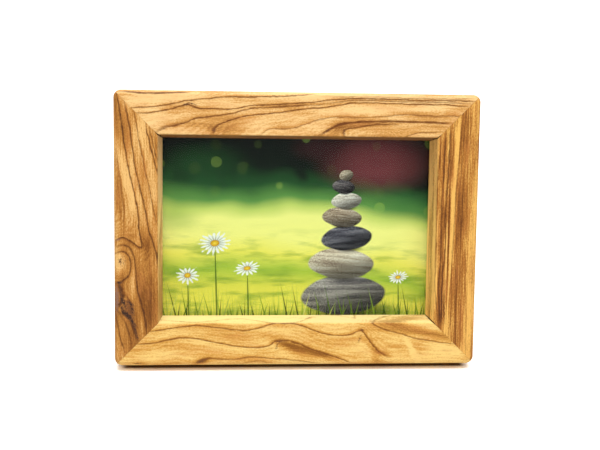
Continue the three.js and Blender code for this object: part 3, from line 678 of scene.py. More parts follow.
def olive_wood(name):
    """Olive wood for one rail, drawn from the marks that the rail's mesh carries."""
    material = new_material(f"Olive wood, oiled, {name} rail")
    tree = material.node_tree
    mark = {m: add(tree, "Attribute", out="Fac", attribute_name=m) for m in WOOD_MARKS}
    noise = wood_noises(tree, name)
    ring, veins, halo = wood_veins(tree, noise, mark)
    darkness = wood_darkness(tree, name, noise, mark, ring, halo)
    mottle = add(tree, "MapRange", (noise["blotch"], 0.35, 0.65, 0.2, 1.9))
    bark = add(tree, "Math", (mark["bark"], mottle), operation="MULTIPLY")
    colour = wood_colour(tree, name, noise, mark, darkness, veins, bark)

    relief = add(tree, "Math", (noise["fibre"], 0.6, noise["pore"]), operation="MULTIPLY_ADD")
    for hollow in (veins, bark):
        relief = add(tree, "Math", (hollow, -0.3, relief), operation="MULTIPLY_ADD")
    bump = add(tree, "Bump", {"Height": relief, "Strength": 0.25, "Distance": 0.05 * MM})
    roughness = add(tree, "MapRange", (noise["fibre"], 0.3, 0.7, 0.42, 0.56))
    shader = add(tree, "BsdfPrincipled", {"Base Color": colour, "Roughness": roughness, "Normal": bump,
                                          "IOR": 1.45, "Specular IOR Level": 0.3})
    add(tree, "OutputMaterial", (shader,))
    return material


# Mesh helpers. A mesh is drawn in millimetres, and settle puts it in its place.


def mesh_of(points, faces):
    """A mesh with its faces turned outwards."""
    mesh = bpy.data.meshes.new("drawn")
    mesh.from_pydata([tuple(map(float, p)) for p in points], [], faces)
    tidy(mesh)
    return mesh


def lofted(points, around):
    """Solid through a row of outlines, given one after another, with the same number of points around."""
    rows = len(points) // around
    faces = [tuple(range(around)), tuple(range(rows * around - 1, (rows - 1) * around - 1, -1))]
    for here in range(0, (rows - 1) * around, around):
        there = here + around
        for i in range(around):
            j = (i + 1) % around
            faces.append((here + i, there + i, there + j, here + j))
    return mesh_of(points, faces)


def tidy(mesh):
    """Joins points that coincide and turns all faces outwards."""
    bm = bmesh.new()
    bm.from_mesh(mesh)
    bmesh.ops.remove_doubles(bm, verts=bm.verts, dist=MERGE_DISTANCE)
    bmesh.ops.recalc_face_normals(bm, faces=bm.faces)
    bm.to_mesh(mesh)
    bm.free()
    mesh.update()


def baked(thing):
    """The mesh that an object's modifiers or curve make, with the object gone."""
    bpy.context.scene.collection.objects.link(thing)
    bpy.context.view_layer.update()
    evaluated = thing.evaluated_get(bpy.context.evaluated_depsgraph_get())
    mesh = bpy.data.meshes.new_from_object(evaluated)
    bpy.data.objects.remove(thing)
    return mesh


def combined(mesh, other, operation):
    """One mesh joined with, or cut by, another."""
    tool = bpy.data.objects.new("tool", other)
    bpy.context.scene.collection.objects.link(tool)
    thing = bpy.data.objects.new("thing", mesh)
    modifier = thing.modifiers.new("combine", "BOOLEAN")
    modifier.operation = operation
    modifier.solver = "EXACT"
    modifier.object = tool
    made = baked(thing)
    bpy.data.objects.remove(tool)
    return made


def together(*meshes):
    """Several separate bodies as one mesh."""
    bm = bmesh.new()
    for mesh in meshes:
        bm.from_mesh(mesh)
    joined = bpy.data.meshes.new("joined")
    bm.to_mesh(joined)
    bm.free()
    return joined


def arc(x, z, radius, start, end, steps=ROUND_STEPS):
    """Points on an arc round (x, z), between two angles in degrees."""
    angles = [math.radians(start + (end - start) * i / steps) for i in range(steps + 1)]
    return [(x + radius * math.cos(a), z + radius * math.sin(a)) for a in angles]


def plate(loops, thickness, rear, edge):
    """Plate with rounded edges. Its outline and holes lie in x and z, and its rear face at y = rear."""
    curve = bpy.data.curves.new("plate", "CURVE")
    curve.dimensions = "2D"
    curve.fill_mode = "BOTH"
    curve.extrude = thickness / 2 - edge
    curve.bevel_depth = edge
    curve.offset = -edge
    curve.bevel_resolution = 2
    for loop in loops:
        spline = curve.splines.new("POLY")
        spline.points.add(len(loop) - 1)
        spline.points.foreach_set("co", [c for x, z in loop for c in (x, z, 0, 1)])
        spline.use_cyclic_u = True
    mesh = baked(bpy.data.objects.new("plate", curve))
    mesh.transform(Matrix.Translation((0, rear - thickness / 2, 0)) @ Matrix.Rotation(math.pi / 2, 4, "X"))
    tidy(mesh)
    return mesh


def prism(loop, front, rear):
    """Straight-sided body, drawn in x and z, between two places along y."""
    return lofted([(x, y, z) for y in (front, rear) for x, z in loop], len(loop))


def turned(profile, steps=TURNED_STEPS):
    """Round body about the y axis from the radius and place of each step of its profile."""
    angles = [math.tau * i / steps for i in range(steps)]
    return lofted([(r * math.cos(a), y, r * math.sin(a)) for r, y in profile for a in angles], steps)


def circle(x, z, radius, steps=HOLE_STEPS):
    """A hole's outline, drawn the other way round from a plate's."""
    return arc(x, z, radius, 360, 360 / steps, steps - 1)


def other_half(points):
    """The left half of an outline, from its right half."""
    return [(-x, z) for x, z in reversed(points)]


def sliced(bm, point, normal, clear=False):
    """Cuts a mesh along a plane, and gives what lies on the cut. The side the normal points to can go."""
    return bmesh.ops.bisect_plane(bm, geom=bm.verts[:] + bm.edges[:] + bm.faces[:], dist=CUT_TOLERANCE,
                                  plane_co=point, plane_no=normal, clear_outer=clear)["geom_cut"]


def give_finish(mesh, material):
    """Puts one material on the whole of a mesh."""
    mesh.materials.clear()
    mesh.materials.append(material)


def settle(name, mesh, material, nodes, body="frame", place=STANCE):
    """Makes a drawn mesh a piece of the object, in its place, with its finish."""
    mesh.transform(place)
    mesh.name = name
    give_finish(mesh, material)
    mesh.polygons.foreach_set("use_smooth", [True] * len(mesh.polygons))
    mesh.set_sharp_from_angle(angle=SHARP_ANGLE)
    piece = bpy.data.objects.new(name, mesh)
    bpy.context.scene.collection.objects.link(piece)
    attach(piece, body)
    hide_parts(*nodes)


# Rails


def stretch(start, end, step=ACROSS_STEP):
    """Points a step apart from start up to, but not at, end."""
    start, end = np.array(start, float), np.array(end, float)
    count = max(1, round(np.linalg.norm(end - start) / step))
    return [tuple(start + (end - start) * i / count) for i in range(count)]


def rail_section():
    """Points round a rail's section, across it from its outer edge and forward from its rear face."""
    ease, wall = EASED_EDGE, RAIL_WIDTH - LEDGE_WIDTH
    inner = RAIL_WIDTH - INNER_WALL_DRAFT - INNER_EDGE_RADIUS
    draft = math.degrees(math.atan(INNER_WALL_DRAFT / (RAIL_THICKNESS - REBATE_DEPTH)))
    inner_round = arc(inner, RAIL_THICKNESS - INNER_EDGE_RADIUS, INNER_EDGE_RADIUS, draft, 90)
    outer_round = arc(OUTER_EDGE_RADIUS, RAIL_THICKNESS - OUTER_EDGE_RADIUS, OUTER_EDGE_RADIUS, 90, 180)
    section = arc(ease, ease, ease, 180, 270, EASED_STEPS)
    section += stretch((ease, 0), (wall - ease, 0), REAR_STEP)[1:]
    section += arc(wall - ease, ease, ease, 270, 360, EASED_STEPS)
    section += stretch((wall, ease), (wall, REBATE_DEPTH), REBATE_STEP)[1:]
    section += stretch((wall, REBATE_DEPTH), (RAIL_WIDTH, REBATE_DEPTH), REBATE_STEP)
    section += stretch((RAIL_WIDTH, REBATE_DEPTH), inner_round[0], REAR_STEP)
    section += inner_round[:-1]
    section += stretch(inner_round[-1], outer_round[0])
    section += outer_round[:-1]
    section += stretch(outer_round[-1], (0, ease))
    return np.array(section)


def smoothstep(x):
    """A smooth rise from 0 to 1 while x goes from 0 to 1."""
    x = np.clip(x, 0, 1)
    return x * x * (3 - 2 * x)


def rail_columns(side):
    """Where the section is repeated, in shares of the length, and how far the round corner draws it in."""
    half = side.length / 2
    share, inset = [], []
    for i in range(ROUND_STEPS + 1):
        angle = math.radians(45 * (1 - i / ROUND_STEPS))
        inwards = CORNER_RADIUS * (1 - math.cos(angle))
        along = half - CORNER_RADIUS * (1 - math.sin(angle))
        share.append((1 - along / (half - inwards)) / 2)
        inset.append(inwards)
    middle = [s for s, _ in stretch((share[-1], 0), (1 - share[-1], 0), ALONG_STEP / side.length)][1:]
    return (np.array(share + middle + [1 - s for s in reversed(share)]),
            np.array(inset + [0] * len(middle) + list(reversed(inset))))


def rail_mesh(side):
    """A rail along x, with its outer edge at z = -distance and its mitres cut."""
    section = rail_section()
    share, inset = rail_columns(side)
    sanded = 1 - smoothstep(section[None, :, 0] / CORNER_SANDING_REACH)
    across = section[None, :, 0] + inset[:, None] * sanded
    depth = np.broadcast_to(section[None, :, 1], across.shape)
    open_share = smoothstep((across - MITRE_OPENS_FROM) / (RAIL_WIDTH - MITRE_OPENS_FROM))
    open_share *= smoothstep((depth - REBATE_DEPTH - MITRE_OPENS_PAST_REBATE) / MITRE_OPENING_RISE)

    def half_gap(gap):
        return (MITRE_GAP_OUTSIDE + (gap - MITRE_GAP_OUTSIDE) * open_share) / math.sqrt(2)

    left = -side.length / 2 + across + half_gap(side.gap_left)
    right = side.length / 2 - across - half_gap(side.gap_right)
    along = left + (right - left) * share[:, None]
    points = np.stack([along, -depth, across - side.distance], axis=2).reshape(-1, 3)
    return lofted(points, len(section))


def nail_slot(side, end):
    """Slot of a V-nail at one end of a rail."""
    x = -side.length / 2 + V_NAIL_INSET - FIT
    z = -side.distance + V_NAIL_INSET - FIT
    leg, thick = V_NAIL_LEG + 2 * FIT, V_NAIL_THICKNESS + 2 * FIT
    corners = [(0, 0), (leg, 0), (leg, thick), (thick, thick), (thick, leg), (0, leg)]
    return prism([(-end * (x + a), z + b) for a, b in corners], -V_NAIL_SLOT_DEPTH, CUTTER_OVERRUN)


def pilot_hole(x, z, radius, depth):
    """Hole of a screw or nail in a rail's rear face."""
    return prism(circle(x, z, radius + FIT, PILOT_HOLE_STEPS), -depth, CUTTER_OVERRUN)


def nail_places():
    """Where the hanger's nails lie, along the top rail from its middle."""
    x = (HANGER_LENGTH - HANGER_TAB) / 2
    return [-x, x]


def grain_places(side, local):
    """Each point's place along and across its rail's grain, and its depth behind the front."""
    behind = RAIL_THICKNESS + local[:, 1]
    along = local[:, 0] + GRAIN_SLANT * behind
    across = local[:, 2] + side.distance - GRAIN_DIVE * behind
    return np.stack([along, across, behind], axis=1)


def figure_places(side, grain):
    """Where the ring that passes through each point comes out on the frame's front."""
    turn = math.radians(side.turn)
    along, height = grain[:, 0], grain[:, 1] - side.distance
    return np.stack([along * math.cos(turn) + height * math.sin(turn) + FRAME_WIDTH / 2,
                     height * math.cos(turn) - along * math.sin(turn) + FRAME_HEIGHT / 2], axis=1)


def wall_mark(inwards, behind):
    """1 on the drafted inner wall, and 0 elsewhere."""
    wall = smoothstep((inwards - RAIL_WIDTH + INNER_WALL_DRAFT + WALL_LEAD) / WALL_FADE)
    return wall * (behind < RAIL_THICKNESS - REBATE_DEPTH + FIT)


def seam_mark(side, along, inwards):
    """How strongly the glue line shows: fully where the mitre is open."""
    gap = np.where(along < 0, side.gap_left, side.gap_right)
    opened = smoothstep((inwards - MITRE_OPENS_FROM) / SEAM_FADE) * (gap > MITRE_GAP_TIGHT)
    return SEAM_SHARE + (1 - SEAM_SHARE) * opened


def mark_wood(name, mesh):
    """Gives each point of a rail its place in the wood's figure."""
    side = SIDES[name]
    local = np.empty(len(mesh.vertices) * 3)
    mesh.vertices.foreach_get("co", local)
    local = local.reshape(-1, 3)
    grain = grain_places(side, local)
    figure = figure_places(side, grain)
    field = ring_field(name)
    ring = field(figure)
    slope = np.hypot(field(figure + (RING_PROBE, 0)) - ring, field(figure + (0, RING_PROBE)) - ring)
    strength, width = vein_marks(name, figure)
    buried = BURIED_VEIN_STRENGTH * smoothstep(-grain[:, 1] / BURIED_VEIN_FADE)
    inwards = local[:, 2] + side.distance
    marks = {
        "ring": ring + RING_OFFSET,
        "ring_slope": np.maximum(slope / RING_PROBE, LEAST_RING_SLOPE),
        "vein_width": width,
        "vein_strength": np.maximum(strength, buried),
        "wood_shade": smudge_marks(SMUDGES[name], figure),
        "bark": smudge_marks(BARK[name], figure),
        "inner_wall": wall_mark(inwards, grain[:, 2]),
        "mitre_distance": (side.length / 2 - inwards - np.abs(local[:, 0])) / math.sqrt(2),
        "open_seam": seam_mark(side, local[:, 0], inwards),
    }
    for mark, values in marks.items():
        mesh.attributes.new(mark, "FLOAT", "POINT").data.foreach_set("value", values)
    mesh.attributes.new("grain_place", "FLOAT_VECTOR", "POINT").data.foreach_set("vector", grain.ravel())


def make_rail(name):
    """A rail with its slots and pilot holes cut."""
    side = SIDES[name]
    cuts = [nail_slot(side, end) for end in (-1, 1)]
    for x in side.buttons.values():
        cuts.append(pilot_hole(x, BUTTON_PIVOT - side.distance, SCREW_SHANK_RADIUS, SCREW_DEPTH))
    for x in nail_places() if name == "top" else ():
        cuts.append(pilot_hole(x, HANGER_MIDDLE - side.distance, NAIL_SHANK_RADIUS, NAIL_DEPTH))
    mesh = combined(rail_mesh(side), together(*cuts), "DIFFERENCE")
    mark_wood(name, mesh)
    settle(f"{name}_rail", mesh, olive_wood(name), [f"rail_{name}"],
           place=STANCE @ side_place(side))


# Zinc-plated steel, pressed from sheet and dull-bright: a cloudy satin in patches of 3 mm, with faint
# rolling lines a sixth of a millimetre apart.
def zinc_plated_steel():
    material = new_material("Zinc-plated steel, pressed")
    tree = material.node_tree
    cloud = add(tree, "TexNoise", {"Vector": fine_place(tree, (0.35, 0.35, 0.35)), "Scale": 1, "Detail": 3})
    line = add(tree, "TexNoise", {"Vector": fine_place(tree, (0.3, 6, 6)), "Scale": 1, "Detail": 2})
    tint = add(tree, "ValToRGB", (cloud,), stops=[(0.3, "#9a9ea4"), (0.5, "#b0b3b8"), (0.7, "#bebcb3")])
    shine = add(tree, "Math", (line, 0.5, cloud), operation="MULTIPLY_ADD")
    roughness = add(tree, "MapRange", (shine, 0.5, 1, 0.26, 0.42))
    bump = add(tree, "Bump", {"Height": line, "Strength": 0.2, "Distance": 0.01 * MM})
    shader = add(tree, "BsdfPrincipled", {"Base Color": tint, "Metallic": 1, "Roughness": roughness,
                                          "Normal": bump})
    add(tree, "OutputMaterial", (shader,))
    return material


# Brass-plated steel, tumbled bright: an even warm yellow, a little duller where it has been handled, in
# patches of 7 mm.
def brass_plated_steel():
    material = new_material("Brass-plated steel, bright")
    tree = material.node_tree
    cloud = add(tree, "TexNoise", {"Vector": fine_place(tree, (0.15, 0.15, 0.15)), "Scale": 1, "Detail": 4})
    tint = add(tree, "ValToRGB", (cloud,), stops=[(0.3, "#c49a4b"), (0.5, "#cfa956"), (0.7, "#d8b566")])
    roughness = add(tree, "MapRange", (cloud, 0.3, 0.7, 0.34, 0.24))
    bump = add(tree, "Bump", {"Height": cloud, "Strength": 0.1, "Distance": 0.01 * MM})
    shader = add(tree, "BsdfPrincipled", {"Base Color": tint, "Metallic": 1, "Roughness": roughness,
                                          "Normal": bump})
    add(tree, "OutputMaterial", (shader,))
    return material


# Medium-density fibreboard, sanded and raw: matt mid-brown, flecked every way with pale and dark fibres of
# 2 mm. They are drawn a third of a millimetre thick, coarser than the real ones, so that they show.
def raw_fibreboard():
    material = new_material("Medium-density fibreboard, raw")
    tree = material.node_tree
    place = fine_place(tree, (1, 1, 1))
    bend = add(tree, "TexNoise", {"Vector": place, "Scale": 0.35, "Detail": 1}, out="Color")
    bent = add(tree, "VectorMath", (bend, (5, 5, 5), place), operation="MULTIPLY_ADD")
    flecks = []
    for stretch_along in ((0.5, 3, 3), (3, 3, 0.5)):
        along = add(tree, "Mapping", {"Vector": bent, "Scale": stretch_along})
        flecks.append(add(tree, "TexNoise", {"Vector": along, "Scale": 1, "Detail": 2}))
    fleck = add(tree, "Math", flecks, operation="ADD")
    cloud = add(tree, "TexNoise", {"Vector": place, "Scale": 0.06, "Detail": 3})
    tone = add(tree, "Math", (cloud, 0.6, fleck), operation="MULTIPLY_ADD")
    tint = add(tree, "MapRange", (tone, 0.95, 1.65))
    colour = add(tree, "ValToRGB", (tint,), stops=[(0, "#6b4f33"), (0.45, "#967451"), (0.7, "#a5835d"),
                                                   (1, "#c0a17a")])
    bump = add(tree, "Bump", {"Height": fleck, "Strength": 0.3, "Distance": 0.06 * MM})
    shader = add(tree, "BsdfPrincipled", {"Base Color": colour, "Roughness": 0.85, "Normal": bump})
    add(tree, "OutputMaterial", (shader,))
    return material


# Float glass, 2 mm and clear: what lies behind it shows nearly as it is, with a weak even reflection that
# wiping has dulled a trace, in smears of 30 mm.
def float_glass():
    material = new_material("Float glass, clear")
    tree = material.node_tree
    smear = add(tree, "TexNoise", {"Vector": fine_place(tree, (0.03, 0.03, 0.05)), "Scale": 1, "Detail": 3})
    roughness = add(tree, "MapRange", (smear, 0.4, 0.7, 0.02, 0.07))
    gloss = add(tree, "BsdfGlossy", {"Color": "#ffffff", "Roughness": roughness})
    through = add(tree, "BsdfTransparent", ("#fbfefc",))
    edge_on = add(tree, "Fresnel", {"IOR": 1.45})
    share = add(tree, "Math", (edge_on, GLASS_GLOSS), operation="MULTIPLY")
    add(tree, "OutputMaterial", (add(tree, "MixShader", (share, through, gloss)),))
    return material


# Print: pebbles stacked in a meadow, with daisies, and blurred trees behind. All in millimetres from the
# sheet's middle. The background's colours lie between the field's foot and the trees' top. Their levels
# fall to the right in a wave, given by the length of a radian and its start in radians, and clouds of
# noise lift them.
FIELD_FOOT = -45
TREE_TOP = 57
LEVEL_FALL = 0.1
WAVE_HEIGHT = 4
WAVE_LENGTH = 34
WAVE_START = 0.9
CLOUD_LIFT = 12
LIGHT_SPACING = 13
LIGHT_TONE = "#9fc25a"
RIPPLE_TONE = "#6d9a30"
PILE_SHADE = "#2b3d12"
BARE_PAPER = "#f4f3ef"

# Soft spots of colour in the trees: their place and half size, tone and strength
TREE_SPOTS = [((44, 36, 30, 16), "#8a444a", 0.85), ((12, 44, 15, 8), "#4a262b", 0.6),
              ((-52, 34, 24, 12), "#24502a", 0.8), ((64, 12, 18, 9), "#3f7a3c", 0.5),
              ((-66, 4, 14, 7), "#7fae4a", 0.4)]

# What stands in the field. Pebbles' sizes are measured from their middle, blades of grass are thick as a
# share of their spacing, and near ones are sharper than far ones.
Pebble = namedtuple("Pebble", "x z wide high tilt pale body dark")
Daisy = namedtuple("Daisy", "x z radius squash petals")
Grass = namedtuple("Grass", "spacing height thick shear seed blur strength colours")
PEBBLES = [
    Pebble(27, -38, 24, 11, 2, "#b9b2ad", "#837c79", "#45414a"),
    Pebble(25.5, -20.2, 18.6, 8.6, -3, "#f4ebdb", "#cfc0aa", "#8d7868"),
    Pebble(28.4, -5.8, 14.4, 6.9, 4, "#8a8791", "#57545f", "#26242e"),
    Pebble(25.6, 5.8, 11.2, 5.5, -5, "#ddcebb", "#a6917d", "#64503f"),
    Pebble(28, 15, 8.6, 4.5, 3, "#fbf7ef", "#ddd4c8", "#a3978b"),
    Pebble(26.2, 22.8, 6.4, 3.9, -8, "#8f8786", "#5d565b", "#2e2a31"),
    Pebble(27.6, 29.2, 4, 2.9, 10, "#e9ddc9", "#bfae97", "#806e5d"),
]
DAISIES = [Daisy(-45, -9, 8.2, 0.72, 17), Daisy(-27, -23, 6.6, 0.6, 14), Daisy(-60, -27, 6, 0.78, 13),
           Daisy(58, -28, 5.2, 0.66, 15)]
FAR_GRASS = [
    Grass(2.6, 34, 0.3, 0.06, 11, 0.2, 0.35, ["#7fae34", "#a9c644", "#5c8f2c", "#c8d655"]),
    Grass(3.4, 30, 0.26, -0.1, 37, 0.18, 0.4, ["#c9da58", "#6c9c30", "#e3e36a", "#4d7f2a"]),
]
NEAR_GRASS = [
    Grass(6.2, 27, 0.11, 0.22, 5, 0.05, 0.9, ["#31490f", "#5f7f1c", "#8eaa2e", "#27390d"]),
    Grass(7.4, 22, 0.09, -0.28, 23, 0.05, 0.9, ["#b9cf45", "#47630f", "#748f22", "#e4e67a"]),
    Grass(4.6, 17, 0.12, -0.06, 71, 0.06, 0.9, ["#1f300c", "#45621a", "#9ab53a", "#2c420f"]),
]


def soft_spot(tree, place, x, z, wide, high, tilt=0):
    """Each point's place in a spot, whose middle is at 0 and edge at 1, and how far out that is."""
    local = add(tree, "Mapping", {"Vector": place, "Location": (x, z, 0),
                                  "Rotation": (0, 0, math.radians(tilt)), "Scale": (wide, high, 1)},
                vector_type="TEXTURE")
    return local, add(tree, "VectorMath", (local,), out="Value", operation="LENGTH")


def paint_spot(tree, place, below, tone, spot, strength, full=0.3, gone=1.1):
    """Paints a spot of one colour, full up to one distance from its middle and gone at another."""
    _, away = soft_spot(tree, place, *spot)
    share = add(tree, "MapRange", (away, full, gone, strength, 0), interpolation_type="SMOOTHSTEP")
    return add(tree, "MixRGB", (share, below, tone))


def paint_pebble(tree, place, below, pebble):
    """A banded, speckled stone, lit from above, with its shadow on the one below."""
    shadow = (pebble.x + 1, pebble.z - 0.86 * pebble.high, 0.62 * pebble.wide, 0.42 * pebble.high)
    below = paint_spot(tree, place, below, "#0d0d0b", shadow, 0.85)
    local, away = soft_spot(tree, place, pebble.x, pebble.z, pebble.wide, pebble.high, pebble.tilt)
    rough = add(tree, "TexNoise", {"Vector": local, "Scale": 1.1, "Detail": 1})
    uneven = add(tree, "Math", (rough, 0.22, away), operation="MULTIPLY_ADD")
    bands = add(tree, "Mapping", {"Vector": local, "Scale": (0.6, 3.2, 1),
                                  "Location": (pebble.x, pebble.z, 0)})
    band = add(tree, "TexNoise", {"Vector": bands, "Scale": 1.1, "Detail": 3, "Distortion": 0.6})
    speckle = add(tree, "TexNoise", {"Vector": place, "Scale": 1.3, "Detail": 3, "Roughness": 0.7})
    mixed = add(tree, "Math", (band, speckle), operation="ADD")
    halved = add(tree, "Math", (mixed, 0.5), operation="MULTIPLY")
    stone = add(tree, "ValToRGB", (halved,), stops=[(0.38, pebble.dark), (0.5, pebble.body),
                                                    (0.6, pebble.pale)])
    lit = add(tree, "VectorMath", (local, (-0.4, 0.75, 0)), out="Value", operation="DOT_PRODUCT")
    shade = add(tree, "MapRange", (lit, -0.7, 0.75, 0.2, 1.25), interpolation_type="SMOOTHSTEP")
    shaded = add(tree, "VectorMath", {0: stone, "Scale": shade}, operation="SCALE")
    share = add(tree, "MapRange", (uneven, 1.06, 1.14, 1, 0), interpolation_type="SMOOTHSTEP")
    return add(tree, "MixRGB", (share, below, shaded))


def paint_daisy(tree, place, below, daisy):
    """White petals round a yellow heart, on a stalk."""
    stalk = (daisy.x + 0.9, daisy.z - 28, 0.5, 28, 1.8)
    below = paint_spot(tree, place, below, "#4c6b1e", stalk, 0.85, 0.8)
    local, away = soft_spot(tree, place, daisy.x, daisy.z, daisy.radius, daisy.radius * daisy.squash, 8)
    part = add(tree, "SeparateXYZ", (local,), out=None).outputs
    angle = add(tree, "Math", (part[1], part[0]), operation="ARCTAN2")
    turn = add(tree, "Math", (angle, daisy.petals, daisy.x), operation="MULTIPLY_ADD")
    petal = add(tree, "Math", (turn,), operation="COSINE")
    ragged = add(tree, "TexNoise", {"Vector": place, "Scale": 0.45, "Detail": 1})
    reach = add(tree, "Math", (petal, -0.2, away), operation="MULTIPLY_ADD")
    reach = add(tree, "Math", (ragged, 0.8, reach), operation="MULTIPLY_ADD")
    tone = add(tree, "Math", (petal, 0.3, away), operation="MULTIPLY_ADD")
    glow = add(tree, "ValToRGB", (tone,), stops=[(0, "#9da18a"), (0.45, "#dfe2d2"), (0.8, "#fbfbf6")])
    share = add(tree, "MapRange", (reach, 1.18, 1.32, 1, 0), interpolation_type="SMOOTHSTEP")
    below = add(tree, "MixRGB", (share, below, glow))
    heart = add(tree, "ValToRGB", (away,), stops=[(0, "#ffe14a"), (0.25, "#e0a418"), (0.32, "#8f6a10")])
    share = add(tree, "MapRange", (away, 0.27, 0.34, 1, 0), interpolation_type="SMOOTHSTEP")
    return add(tree, "MixRGB", (share, below, heart))


def paint_grass(tree, place, below, grass):
    """A row of blades from the print's lower edge, one in each step across it."""
    part = add(tree, "SeparateXYZ", (place,), out=None).outputs
    leaning = add(tree, "Math", (part[1], grass.shear, part[0]), operation="MULTIPLY_ADD")
    steps = add(tree, "Math", (leaning, 1 / grass.spacing, grass.seed), operation="MULTIPLY_ADD")
    step = add(tree, "Math", (steps,), operation="FLOOR")
    dice = add(tree, "TexWhiteNoise", {"W": step}, out="Color", noise_dimensions="1D")
    throws = add(tree, "SeparateXYZ", (dice,), out=None).outputs
    within = add(tree, "Math", (steps, step), operation="SUBTRACT")
    height = add(tree, "MapRange", (throws[0], 0, 1, 0.35 * grass.height, grass.height))
    above = add(tree, "Math", (part[1], PRINT_HEIGHT / 2), operation="ADD")
    share = add(tree, "Math", (above, height), operation="DIVIDE")
    curve = add(tree, "Math", (share, share), operation="MULTIPLY")
    lean = add(tree, "MapRange", (throws[1], 0, 1, -0.34, 0.34))
    middle = add(tree, "Math", (curve, lean, 0.5), operation="MULTIPLY_ADD")
    away = add(tree, "Math", (within, middle), operation="SUBTRACT")
    away = add(tree, "Math", (away,), operation="ABSOLUTE")
    room = add(tree, "Math", (share, -grass.thick, grass.thick), operation="MULTIPLY_ADD")
    spare = add(tree, "Math", (room, away), operation="SUBTRACT")
    mask = add(tree, "MapRange", (spare, 0, grass.blur, 0, grass.strength), interpolation_type="SMOOTHSTEP")
    colour = add(tree, "ValToRGB", (throws[2],), stops=[(i / 3, c) for i, c in enumerate(grass.colours)])
    return add(tree, "MixRGB", (mask, below, colour))


def paint_field(tree, place):
    """A bright field below and dark trees above, blurred. Also gives how far up each point is."""
    part = add(tree, "SeparateXYZ", (place,), out=None).outputs
    roll = add(tree, "Math", (part[0], 1 / WAVE_LENGTH, WAVE_START), operation="MULTIPLY_ADD")
    wave = add(tree, "Math", (roll,), operation="SINE")
    level = add(tree, "Math", (part[0], LEVEL_FALL, part[1]), operation="MULTIPLY_ADD")
    level = add(tree, "Math", (wave, -WAVE_HEIGHT, level), operation="MULTIPLY_ADD")
    cloud = add(tree, "TexNoise", {"Vector": place, "Scale": 0.035, "Detail": 1})
    level = add(tree, "Math", (cloud, CLOUD_LIFT, level), operation="MULTIPLY_ADD")
    height = add(tree, "MapRange", (level, FIELD_FOOT, TREE_TOP))
    colour = add(tree, "ValToRGB", (height,), stops=[
        (0, "#f2e85c"), (0.14, "#e8e055"), (0.24, "#b0c844"), (0.33, "#f6ec66"), (0.42, "#fff98f"),
        (0.52, "#fffb94"), (0.58, "#cfdf72"), (0.63, "#669a4c"), (0.71, "#27552c"), (0.8, "#0b1a10"),
        (1, "#020403")])
    return colour, height


def paint_trees(tree, place, below, height):
    """Dark gaps among the trees, and soft spots of light and red."""
    gap = add(tree, "TexNoise", {"Vector": place, "Scale": 0.05, "Detail": 2})
    gap = add(tree, "MapRange", (gap, 0.5, 0.62, 0, 0.8))
    in_trees = add(tree, "MapRange", (height, 0.66, 0.76))
    gap = add(tree, "Math", (gap, in_trees), operation="MULTIPLY")
    below = add(tree, "MixRGB", (gap, below, "#060c09"))
    for spot, tone, strength in TREE_SPOTS:
        below = paint_spot(tree, place, below, tone, spot, strength, 0.2, 1.3)
    return below


def paint_lights(tree, place, below, height):
    """Out-of-focus lights among the trees."""
    cells = add(tree, "TexVoronoi", {"Vector": place, "Scale": 1 / LIGHT_SPACING, "Randomness": 0.9},
                out=None, voronoi_dimensions="2D").outputs
    dice = add(tree, "SeparateXYZ", (cells["Color"],), out=None).outputs
    size = add(tree, "MapRange", (dice[0], 0, 1, 0.1, 0.34))
    inside = add(tree, "Math", (size, cells["Distance"]), operation="SUBTRACT")
    disc = add(tree, "MapRange", (inside, 0, 0.05), interpolation_type="SMOOTHSTEP")
    chosen = add(tree, "MapRange", (dice[1], 0.5, 1, 0, 0.45))
    above_field = add(tree, "MapRange", (height, 0.5, 0.66))
    for factor in (chosen, above_field):
        disc = add(tree, "Math", (disc, factor), operation="MULTIPLY")
    return add(tree, "MixRGB", (disc, below, LIGHT_TONE))


def paint_ripples(tree, place, below, height):
    """Ripples of blurred grass in the field."""
    stretched = add(tree, "Mapping", {"Vector": place, "Scale": (0.05, 0.22, 1)})
    ripple = add(tree, "TexNoise", {"Vector": stretched, "Scale": 1, "Detail": 3})
    ripple = add(tree, "MapRange", (ripple, 0.48, 0.68, 0, 0.65))
    in_field = add(tree, "MapRange", (height, 0.3, 0.52, 1, 0), interpolation_type="SMOOTHSTEP")
    ripple = add(tree, "Math", (ripple, in_field), operation="MULTIPLY")
    return add(tree, "MixRGB", (ripple, below, RIPPLE_TONE))


# Photo paper with a gloss coat, printed: the glass in front gives the shine, the sheet only its colours.
def gloss_photo_paper():
    """The picture, painted from its background to its foreground."""
    material = new_material("Photo paper, gloss, printed")
    tree = material.node_tree
    place = add(tree, "Attribute", out="Vector", attribute_name="print_place")
    colour, height = paint_field(tree, place)
    for paint in (paint_trees, paint_lights, paint_ripples):
        colour = paint(tree, place, colour, height)
    for grass in FAR_GRASS:
        colour = paint_grass(tree, place, colour, grass)
    lowest = PEBBLES[0]
    colour = paint_spot(tree, place, colour, PILE_SHADE, (lowest.x + 6, lowest.z - 9, 30, 7), 0.8)
    for paint, things in ((paint_pebble, PEBBLES), (paint_daisy, DAISIES), (paint_grass, NEAR_GRASS)):
        for thing in things:
            colour = paint(tree, place, colour, thing)

    # Printer's grain of 0.6 mm, coarser than the real one, and the bare white of the back and edges
    grain = add(tree, "TexNoise", {"Vector": place, "Scale": 1.6, "Detail": 2})
    grain = add(tree, "MapRange", (grain, 0.3, 0.7, 0.9, 1.1))
    colour = add(tree, "VectorMath", {0: colour, "Scale": grain}, operation="SCALE")
    printed = add(tree, "Attribute", out="Fac", attribute_name="printed_face")
    colour = add(tree, "MixRGB", (printed, BARE_PAPER, colour))
    shader = add(tree, "BsdfPrincipled", {"Base Color": colour, "Roughness": 0.45, "IOR": 1.5,
                                          "Specular IOR Level": 0.06})
    add(tree, "OutputMaterial", (shader,))
    return material


